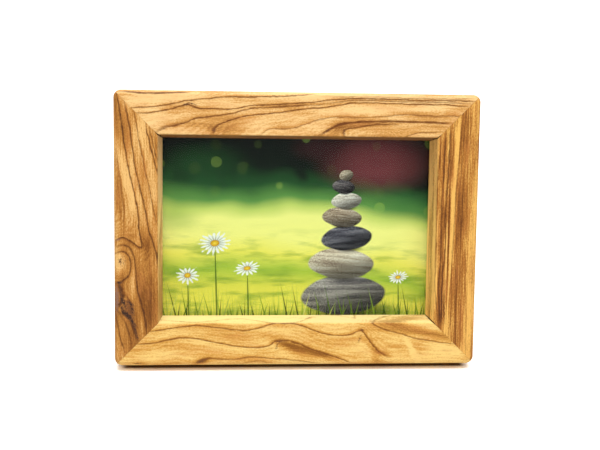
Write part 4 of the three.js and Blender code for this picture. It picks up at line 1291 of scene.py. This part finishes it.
def make_print():
    """The sheet, in a grid, with a mark that tells the printed face from the bare back."""
    columns, rows = (math.ceil(size / PRINT_STEP) for size in (PRINT_WIDTH, PRINT_HEIGHT))
    points = [((i / columns - 0.5) * PRINT_WIDTH, y, FRAME_HEIGHT / 2 + (j / rows - 0.5) * PRINT_HEIGHT)
              for y in (PRINT_REAR - PRINT_THICKNESS, PRINT_REAR)
              for j in range(rows + 1) for i in range(columns + 1)]
    across, layer = columns + 1, (columns + 1) * (rows + 1)
    faces = []
    for base in (0, layer):
        for j in range(rows):
            for i in range(columns):
                a = base + j * across + i
                faces.append((a, a + 1, a + across + 1, a + across))
    rim = [j * across for j in range(rows)] + [rows * across + i for i in range(columns)]
    rim += [j * across + columns for j in range(rows, 0, -1)] + list(range(columns, 0, -1))
    faces += [(a, b, b + layer, a + layer) for a, b in zip(rim, rim[1:] + rim[:1])]
    mesh = mesh_of(points, faces)
    place = [(v.co.x, v.co.z - FRAME_HEIGHT / 2, 0) for v in mesh.vertices]
    printed = [float(v.co.y < PRINT_REAR - PRINT_THICKNESS / 2) for v in mesh.vertices]
    mesh.attributes.new("print_place", "FLOAT_VECTOR", "POINT").data.foreach_set("vector", np.ravel(place))
    mesh.attributes.new("printed_face", "FLOAT", "POINT").data.foreach_set("value", printed)
    settle("print", mesh, gloss_photo_paper(), ["picture_print"])


# Back panel and easel leg


def rounded_corners(corners, radius):
    """Outline with its corners, given in order anticlockwise, rounded."""
    loop = []
    for i, corner in enumerate(corners):
        here, before = Vector(corner), Vector(corners[i - 1])
        after = Vector(corners[(i + 1) % len(corners)])
        back, on = (before - here).normalized(), (after - here).normalized()
        half = back.angle(on) / 2
        middle = here + (back + on).normalized() * radius / math.sin(half)
        start = math.degrees(math.atan2(*(here + back * radius / math.tan(half) - middle).yx))
        sweep = 180 - math.degrees(2 * half)
        loop += arc(middle.x, middle.y, radius, start, start + sweep)
    return loop


def rivet_places():
    """Where a leaf's rivets lie, to each side of its middle."""
    return [-RIVET_SPACING / 2, RIVET_SPACING / 2]


def rivet_holes(up):
    """Outlines of the two rivets' holes, above the pin or, where up is -1, below it."""
    return [circle(x, up * RIVET_FROM_PIN, RIVET_SHANK_RADIUS + FIT) for x in rivet_places()]


def make_panel(board):
    """The board that closes the rebate, drawn from the hinge pin, with its rivet holes."""
    side, low = PANEL_WIDTH / 2, -PIN_HEIGHT + (FRAME_HEIGHT - PANEL_HEIGHT) / 2
    high = low + PANEL_HEIGHT
    outline = rounded_corners([(-side, low), (side, low), (side, high), (-side, high)], PANEL_CORNER_RADIUS)
    mesh = plate([outline] + rivet_holes(1), PANEL_THICKNESS, -PIN_BEHIND_PANEL, BOARD_EDGE)
    settle("back_board", mesh, board, ["back_panel"], place=HINGE)


def make_leg(board):
    """The leg, drawn below its pin and cut to lie flat on the table."""
    foot_tilt = LEG_OPENING - LEAN
    drop = PIN_PLACE.z / MM
    length = drop + LEG_SPARE_LENGTH
    top = LEG_TOP_WIDTH / 2
    foot = top + (LEG_FOOT_WIDTH - LEG_TOP_WIDTH) / 2 / drop * length
    corners = [(top, -LEG_BELOW_PIN), (-top, -LEG_BELOW_PIN), (-foot, -length), (foot, -length)]
    outline = rounded_corners(corners, LEG_CORNER_RADIUS)
    mesh = plate([outline] + rivet_holes(-1), LEG_THICKNESS, LEAF_OFFSET - SEAT_GAP, BOARD_EDGE)
    bm = bmesh.new()
    bm.from_mesh(mesh)
    up = Matrix.Rotation(-foot_tilt, 3, "X") @ Vector((0, 0, 1))
    rim = [e for e in sliced(bm, up * -drop, -up, clear=True) if isinstance(e, bmesh.types.BMEdge)]
    bmesh.ops.contextual_create(bm, geom=rim)
    bm.to_mesh(mesh)
    bm.free()
    settle("leg_board", mesh, board, ["easel_leg"], "leg", STRUT)


# Turn buttons, screws, nails and rivets


def rounded_head(radius, height, seat):
    """Profile of a domed head from its rim, ending on the axis. Its underside is at y = seat."""
    rim = height * HEAD_RIM
    profile = [(radius, seat + HEAD_EDGE)]
    for i in range(ROUND_STEPS + 1):
        angle = math.pi / 2 * i / ROUND_STEPS
        profile.append((radius * math.cos(angle), seat + rim + (height - rim) * math.sin(angle)))
    profile[-1] = (0, seat + height)
    return profile


def headed_pin(shank, head, height, seat, depth, tip, under):
    """A fastener along y whose shank runs in to y = -depth; its head's underside comes down by under."""
    underside = [(shank, seat - under), (head - HEAD_EDGE, seat - under)]
    return turned([(0, -depth), (shank, -depth + tip)] + underside + rounded_head(head, height, seat))


def shell_button():
    """Pressed button: a tapered tongue with a rib along it and a raised boss round its screw."""
    slope = math.degrees(math.asin((BUTTON_HEAD_RADIUS - BUTTON_TIP_RADIUS) / BUTTON_REACH))
    outline = arc(0, BUTTON_REACH, BUTTON_TIP_RADIUS, slope, 180 - slope, BUTTON_TIP_STEPS)
    outline += arc(0, 0, BUTTON_HEAD_RADIUS, 180 - slope, 360 + slope, BUTTON_HEAD_STEPS)
    sheet, seat = BUTTON_THICKNESS - BUTTON_RIB, BUTTON_REAR - BUTTON_RIB
    mesh = plate([outline], sheet + SEAT_GAP - FIT, seat, SHEET_EDGE)
    foot = seat - SHEET_EDGE
    shoulder = [(BOSS_RADIUS - (BOSS_RADIUS - BOSS_FLAT_RADIUS) * t,
                 seat + HAIR + (BUTTON_RIB - HAIR) * float(smoothstep(t)))
                for t in np.linspace(0, 1, ROUND_STEPS // 2 + 1)]
    boss = turned([(0, foot), (BOSS_RADIUS, foot)] + shoulder + [(0, BUTTON_REAR)])
    half_round = [(math.cos(a), math.sin(a)) for a in np.linspace(-RIB_SWEEP, RIB_SWEEP, ROUND_STEPS + 1)]
    rib = turned([(0, -1)] + half_round + [(0, 1)], RIB_STEPS)
    rib.transform(Matrix.Translation((0, seat, RIB_MIDDLE))
                  @ Matrix.Diagonal((RIB_WIDTH / 2, BUTTON_RIB, RIB_LENGTH / 2, 1)))
    bore = prism(circle(0, 0, BUTTON_BORE_RADIUS), -CUTTER_OVERRUN, BUTTON_REAR + CUTTER_OVERRUN)
    for raised in (boss, rib):
        mesh = combined(mesh, raised, "UNION")
    return combined(mesh, bore, "DIFFERENCE")


def screw_mesh():
    """Pan head screw with a cross recess."""
    mesh = headed_pin(SCREW_SHANK_RADIUS, SCREW_HEAD_RADIUS, SCREW_HEAD_HEIGHT, SCREW_HEAD_SEAT,
                      SCREW_DEPTH - FIT, SCREW_TIP, SEAT_GAP - FIT / 2)
    top = SCREW_HEAD_SEAT + SCREW_HEAD_HEIGHT
    across, slot = RECESS_SPAN / 2, RECESS_SLOT / 2
    cross = []
    for turn in range(4):
        quarter = Matrix.Rotation(turn * math.pi / 2, 2)
        for corner in ((slot, -slot), (across, -slot), (across, slot)):
            cross.append(tuple(quarter @ Vector(corner)))
    cutter = prism(cross, top - RECESS_DEPTH, top + CUTTER_OVERRUN)
    for vertex in cutter.vertices:
        if vertex.co.y < top:
            vertex.co.x *= RECESS_TAPER
            vertex.co.z *= RECESS_TAPER
    return combined(mesh, cutter, "DIFFERENCE")


def make_buttons(zinc):
    """Each side's turn buttons, every one on its own screw."""
    button, screw = shell_button(), screw_mesh()
    for side in SIDES.values():
        for name, x in side.buttons.items():
            place = side_place(side) @ Matrix.Translation((x, 0, BUTTON_PIVOT - side.distance))
            settle(f"turn_button_plate_{name}", button.copy(), zinc, [f"turn_button_{name}"],
                   f"button_{name}", STANCE @ place)
            settle(f"button_screw_{name}", screw.copy(), zinc, [f"turn_button_screw_{name}"],
                   place=STANCE @ place)


# Strut hinge


def knuckle(start, end, sign):
    """Sheet rolled round the pin between two places along x, left open by a fine seam."""
    inner, outer = PIN_RADIUS + PIN_CLEARANCE, KNUCKLE_RADIUS
    straight = KNUCKLE_CLEAR - FIT
    roll = arc(0, 0, outer, 180, 180 + KNUCKLE_SWEEP, ROLL_STEPS)
    back = arc(0, 0, inner, 180 + KNUCKLE_SWEEP, KNUCKLE_INNER_START, ROLL_STEPS)
    front = -LEAF_OFFSET - HAIR / 2
    section = roll + back + [(front, inner), (front, straight), (-outer + HAIR / 2, straight)]
    return lofted([(x, sign * y, sign * z) for x in (start, end) for y, z in section], len(section))


def make_panel_leaf(zinc):
    """The leaf on the panel, with a knuckle at each end of the barrel."""
    side, barrel, corner = LEAF_WIDTH / 2, KNUCKLE_SPAN / 2, LEAF_CORNER_RADIUS
    middle = KNUCKLE_MIDDLE / 2 + KNUCKLE_GAP
    outline = [(barrel, KNUCKLE_CLEAR), (side, KNUCKLE_CLEAR)]
    outline += arc(side - corner, LEAF_LENGTH - corner, corner, 0, 90)
    outline += other_half(outline)
    tab = [(-barrel, LEAF_OVER_PIN), (-middle, LEAF_OVER_PIN), (-middle, KNUCKLE_CLEAR)]
    outline += tab + other_half(tab)
    leaf = plate([outline] + rivet_holes(1), LEAF_THICKNESS, -LEAF_OFFSET, SHEET_EDGE)
    for start, end in ((-barrel, -middle), (middle, barrel)):
        leaf = combined(leaf, knuckle(start, end, 1), "UNION")
    settle("panel_leaf", leaf, zinc, ["hinge_panel_leaf"], place=HINGE)


def make_leg_leaf(zinc):
    """The leaf on the leg, with the middle knuckle, and a heel at each side that stops the leg."""
    side, middle, corner = LEAF_WIDTH / 2, KNUCKLE_MIDDLE / 2, LEAF_CORNER_RADIUS
    heel = side - HEEL_WIDTH
    half = [(middle, -LEAF_OVER_PIN), (middle, -KNUCKLE_CLEAR), (heel, -KNUCKLE_CLEAR)]
    half += [(heel, HEEL_TOP), (side, HEEL_TOP)] + arc(side - corner, corner - LEAF_LENGTH, corner, 0, -90)
    leaf = plate([half + other_half(half)] + rivet_holes(-1), LEAF_THICKNESS, KNUCKLE_RADIUS, SHEET_EDGE)
    leaf = combined(leaf, knuckle(-middle, middle, -1), "UNION")
    settle("leg_leaf", leaf, zinc, ["hinge_leg_leaf"], "leg", STRUT)


def make_pin(zinc):
    """The hinge pin, with a head at each end."""
    end = KNUCKLE_SPAN / 2 + KNUCKLE_GAP
    head = end + PIN_HEAD_LENGTH
    edge, crown = PIN_HEAD_EDGE, 2 * PIN_HEAD_EDGE
    half_pin = [(PIN_RADIUS, end), (PIN_HEAD_RADIUS - edge, end), (PIN_HEAD_RADIUS, end + edge),
                (PIN_HEAD_RADIUS, head - crown), (PIN_HEAD_RADIUS - crown, head - PIN_HEAD_DOME), (0, head)]
    pin = turned([(r, -y) for r, y in reversed(half_pin)] + half_pin)
    pin.transform(Matrix.Rotation(math.pi / 2, 4, "Z"))
    settle("pin", pin, zinc, ["hinge_pin"], place=HINGE)


def make_rivets(brass):
    """Two rivets through each leaf and its board."""
    for where, up, rear, board, body, place in (("panel", 1, -LEAF_OFFSET, PANEL_THICKNESS, "frame", HINGE),
                                                ("leg", -1, KNUCKLE_RADIUS, LEG_THICKNESS, "leg", STRUT)):
        depth = SEAT_GAP + LEAF_THICKNESS + board - RIVET_END_INSET
        for hand, x in zip(("left", "right"), rivet_places()):
            mesh = headed_pin(RIVET_SHANK_RADIUS, RIVET_HEAD_RADIUS, RIVET_HEAD_HEIGHT, SEAT_GAP,
                              depth, 0, SEAT_GAP - HEAD_CLEARANCE)
            mesh.transform(Matrix.Translation((x, rear, up * RIVET_FROM_PIN)))
            settle(f"rivet_{where}_{hand}", mesh, brass,
                   [f"hinge_rivet_{where}_{hand}"], body, place)


# Sawtooth hanger


def hanger_outline():
    """The strip's outline, with a row of teeth in its edge towards the picture."""
    end, top = HANGER_LENGTH / 2, HANGER_HEIGHT / 2
    outline = rounded_corners([(-end, -top), (end, -top), (end, top), (-end, top)], HANGER_CORNER_RADIUS)
    half_row = TOOTH_COUNT * TOOTH_PITCH / 2
    teeth = []
    for x in (half_row - i * TOOTH_PITCH for i in range(TOOTH_COUNT)):
        teeth += [(x, top), (x - TOOTH_PITCH / 2, top - TOOTH_DEPTH)]
    past_third_corner = 3 * (ROUND_STEPS + 1)
    return outline[:past_third_corner] + teeth + [(-half_row, top)] + outline[past_third_corner:]


def raise_middle(mesh):
    """Steps the strip's middle up from the wood between its two ends."""
    bm = bmesh.new()
    bm.from_mesh(mesh)
    step = HANGER_LENGTH / 2 - HANGER_TAB
    for i in range(ROUND_STEPS + 1):
        x = step - HANGER_JOGGLE + HANGER_JOGGLE * i / ROUND_STEPS
        for sign in (-1, 1):
            sliced(bm, (sign * x, 0, 0), (1, 0, 0))
    for vertex in bm.verts:
        vertex.co.y += HANGER_RISE * float(smoothstep((step - abs(vertex.co.x)) / HANGER_JOGGLE))
    bm.to_mesh(mesh)
    bm.free()


def make_hanger(brass):
    """The sawtooth strip and its two nails, on the top rail's rear face."""
    holes = [circle(x, 0, NAIL_SHANK_RADIUS + 2 * FIT) for x in nail_places()]
    strip = plate([hanger_outline()] + holes, HANGER_THICKNESS + SEAT_GAP - FIT / 2,
                  SEAT_GAP + HANGER_THICKNESS, HANGER_EDGE)
    raise_middle(strip)
    side = SIDES["top"]
    seat = STANCE @ side_place(side) @ Matrix.Translation((0, 0, HANGER_MIDDLE - side.distance))
    settle("hanger_strip", strip, brass, ["hanger_plate"], place=seat)
    for hand, x in zip(("right", "left"), nail_places()):
        nail = headed_pin(NAIL_SHANK_RADIUS, NAIL_HEAD_RADIUS, NAIL_HEAD_HEIGHT,
                          2 * SEAT_GAP + HANGER_THICKNESS, NAIL_DEPTH - FIT, NAIL_TIP,
                          SEAT_GAP - HEAD_CLEARANCE)
        nail.transform(Matrix.Translation((x, 0, 0)))
        settle(f"hanger_pin_{hand}", nail, brass, [f"hanger_nail_{hand}"], place=seat)


# The V-nails and the glass are shown as the CAD solids that they are
fibreboard = raw_fibreboard()
zinc = zinc_plated_steel()
brass = brass_plated_steel()
for rail_name in SIDES:
    make_rail(rail_name)
for node_name, node in frame["nodes"].items():
    if node_name.startswith("v_nail"):
        give_finish(node.data, zinc)
give_finish(frame["nodes"]["glass_pane"].data, float_glass())
make_print()
make_panel(fibreboard)
make_leg(fibreboard)
make_buttons(zinc)
make_panel_leaf(zinc)
make_leg_leaf(zinc)
make_pin(zinc)
make_rivets(brass)
make_hanger(brass)


# Stage: plain pale floor, even white light, and the camera at the photograph's angle. The lamp, the floor's
# shades and what is nearest and farthest seen are in metres. A shade goes from its first place or value to
# its second.
AMBIENT = 0.55
KEY_POWER = 15.5
KEY_PLACE = (0.05, -0.3, 1.25)
KEY_AIM = (0, 0, 0.07)
KEY_SIZE = 0.9
FLOOR_SIZE = 12000
PAPER_TONE = "#e9e9e9"
PAPER_RANGE = (0.12, 1.5)
PAPER_SHOWN = (1.68, 2)
PAPER_MIRRORED = (0.72, 1.5)
CONTACT_SHADOW_TONE = "#6b4a20"
CONTACT_SHADE = 0.97
CONTACT_FRONT = (-0.0274, -0.0248)
CONTACT_REAR = (-0.009, -0.014)
CONTACT_SIDES = (0.097, 0.092)
CAMERA_PLACE = (-41.6, -509.8, 237.1)
CAMERA_HEADING = math.radians(4.91)
CAMERA_PITCH = math.radians(17.65)
CAMERA_ROLL = math.radians(1.76)
FOCAL_PIXELS = 964.5
IMAGE_WIDTH = 600
SENSOR_WIDTH = 36
NEAREST_SEEN = 0.01
FARTHEST_SEEN = 50


def ray_kinds(tree):
    """1 for what the camera sees, and 1 for what it sees in metal or glass. Both are 0 for light alone."""
    path = add(tree, "LightPath", out=None).outputs
    mirrored = add(tree, "Math", (path["Is Glossy Ray"], path["Is Transmission Ray"]), operation="MAXIMUM")
    return path["Is Camera Ray"], mirrored


def make_floor():
    """Pale paper to stand on, with a painted shadow under the rail. The camera sees it white, and it lights
    the frame as plain paper does.
    """
    half = FLOOR_SIZE / 2
    mesh = mesh_of([(-half, -half, 0), (half, -half, 0), (half, half, 0), (-half, half, 0)], [(0, 1, 2, 3)])
    mesh.transform(Matrix.Scale(MM, 4))
    material = new_material("White paper floor")
    tree = material.node_tree
    place = add(tree, "TexCoord", out="Object")
    from_object = add(tree, "VectorMath", (place,), out="Value", operation="LENGTH")
    shown, mirrored = (add(tree, "MapRange", (from_object, *PAPER_RANGE, *ends))
                       for ends in (PAPER_SHOWN, PAPER_MIRRORED))

    # Painted shadow on the floor, darkest just under the rail's front edge
    # The thin brown line under the rail, which the photograph shows harder than even light gives it
    part = add(tree, "SeparateXYZ", (place,), out=None).outputs
    sideways = add(tree, "Math", (part[0],), operation="ABSOLUTE")
    shade = CONTACT_SHADE
    for value, zone in ((part[1], CONTACT_FRONT), (part[1], CONTACT_REAR), (sideways, CONTACT_SIDES)):
        edge = add(tree, "MapRange", (value, *zone), interpolation_type="SMOOTHSTEP")
        shade = add(tree, "Math", (edge, shade), operation="MULTIPLY")
    shown = add(tree, "MixRGB", (shade, shown, CONTACT_SHADOW_TONE))
    is_seen, is_mirrored = ray_kinds(tree)
    colour = add(tree, "MixRGB", (is_mirrored, PAPER_TONE, mirrored))
    colour = add(tree, "MixRGB", (is_seen, colour, shown))
    add(tree, "OutputMaterial", (add(tree, "BsdfDiffuse", (colour,)),))
    mesh.materials.append(material)
    floor = bpy.data.objects.new("floor", mesh)
    bpy.context.scene.collection.objects.link(floor)


def make_key_light():
    """A large square lamp overhead, aimed at the frame."""
    lamp = bpy.data.lights.new("key", "AREA")
    lamp.size = KEY_SIZE
    lamp.energy = KEY_POWER
    light = bpy.data.objects.new("key", lamp)
    light.location = KEY_PLACE
    light.rotation_euler = (Vector(KEY_AIM) - Vector(KEY_PLACE)).to_track_quat("-Z", "Y").to_euler()
    bpy.context.scene.collection.objects.link(light)


def make_world():
    """White all round, which lights the frame less than it shows."""
    world = bpy.data.worlds.new("Even white light")
    world.use_nodes = True
    tree = world.node_tree
    tree.nodes.clear()
    seen = add(tree, "Math", ray_kinds(tree), operation="MAXIMUM")
    strength = add(tree, "MapRange", (seen, 0, 1, AMBIENT, 1))
    add(tree, "OutputWorld", (add(tree, "Background", ("#ffffff", strength)),))
    bpy.context.scene.world = world


def make_camera():
    """The camera at the photograph's place and angle."""
    lens = bpy.data.cameras.new("camera")
    lens.sensor_width = SENSOR_WIDTH
    lens.lens = FOCAL_PIXELS / IMAGE_WIDTH * SENSOR_WIDTH
    lens.clip_start = NEAREST_SEEN
    lens.clip_end = FARTHEST_SEEN
    camera = bpy.data.objects.new("camera", lens)
    aim = (Matrix.Rotation(-CAMERA_HEADING, 4, "Z") @ Matrix.Rotation(math.pi / 2 - CAMERA_PITCH, 4, "X")
           @ Matrix.Rotation(CAMERA_ROLL, 4, "Z"))
    camera.matrix_world = Matrix.Translation(Vector(CAMERA_PLACE) * MM) @ aim
    bpy.context.scene.collection.objects.link(camera)
    bpy.context.scene.camera = camera


make_floor()
make_world()
make_key_light()
make_camera()
bpy.context.scene.view_settings.view_transform = "Standard"

bpy.context.view_layer.update()
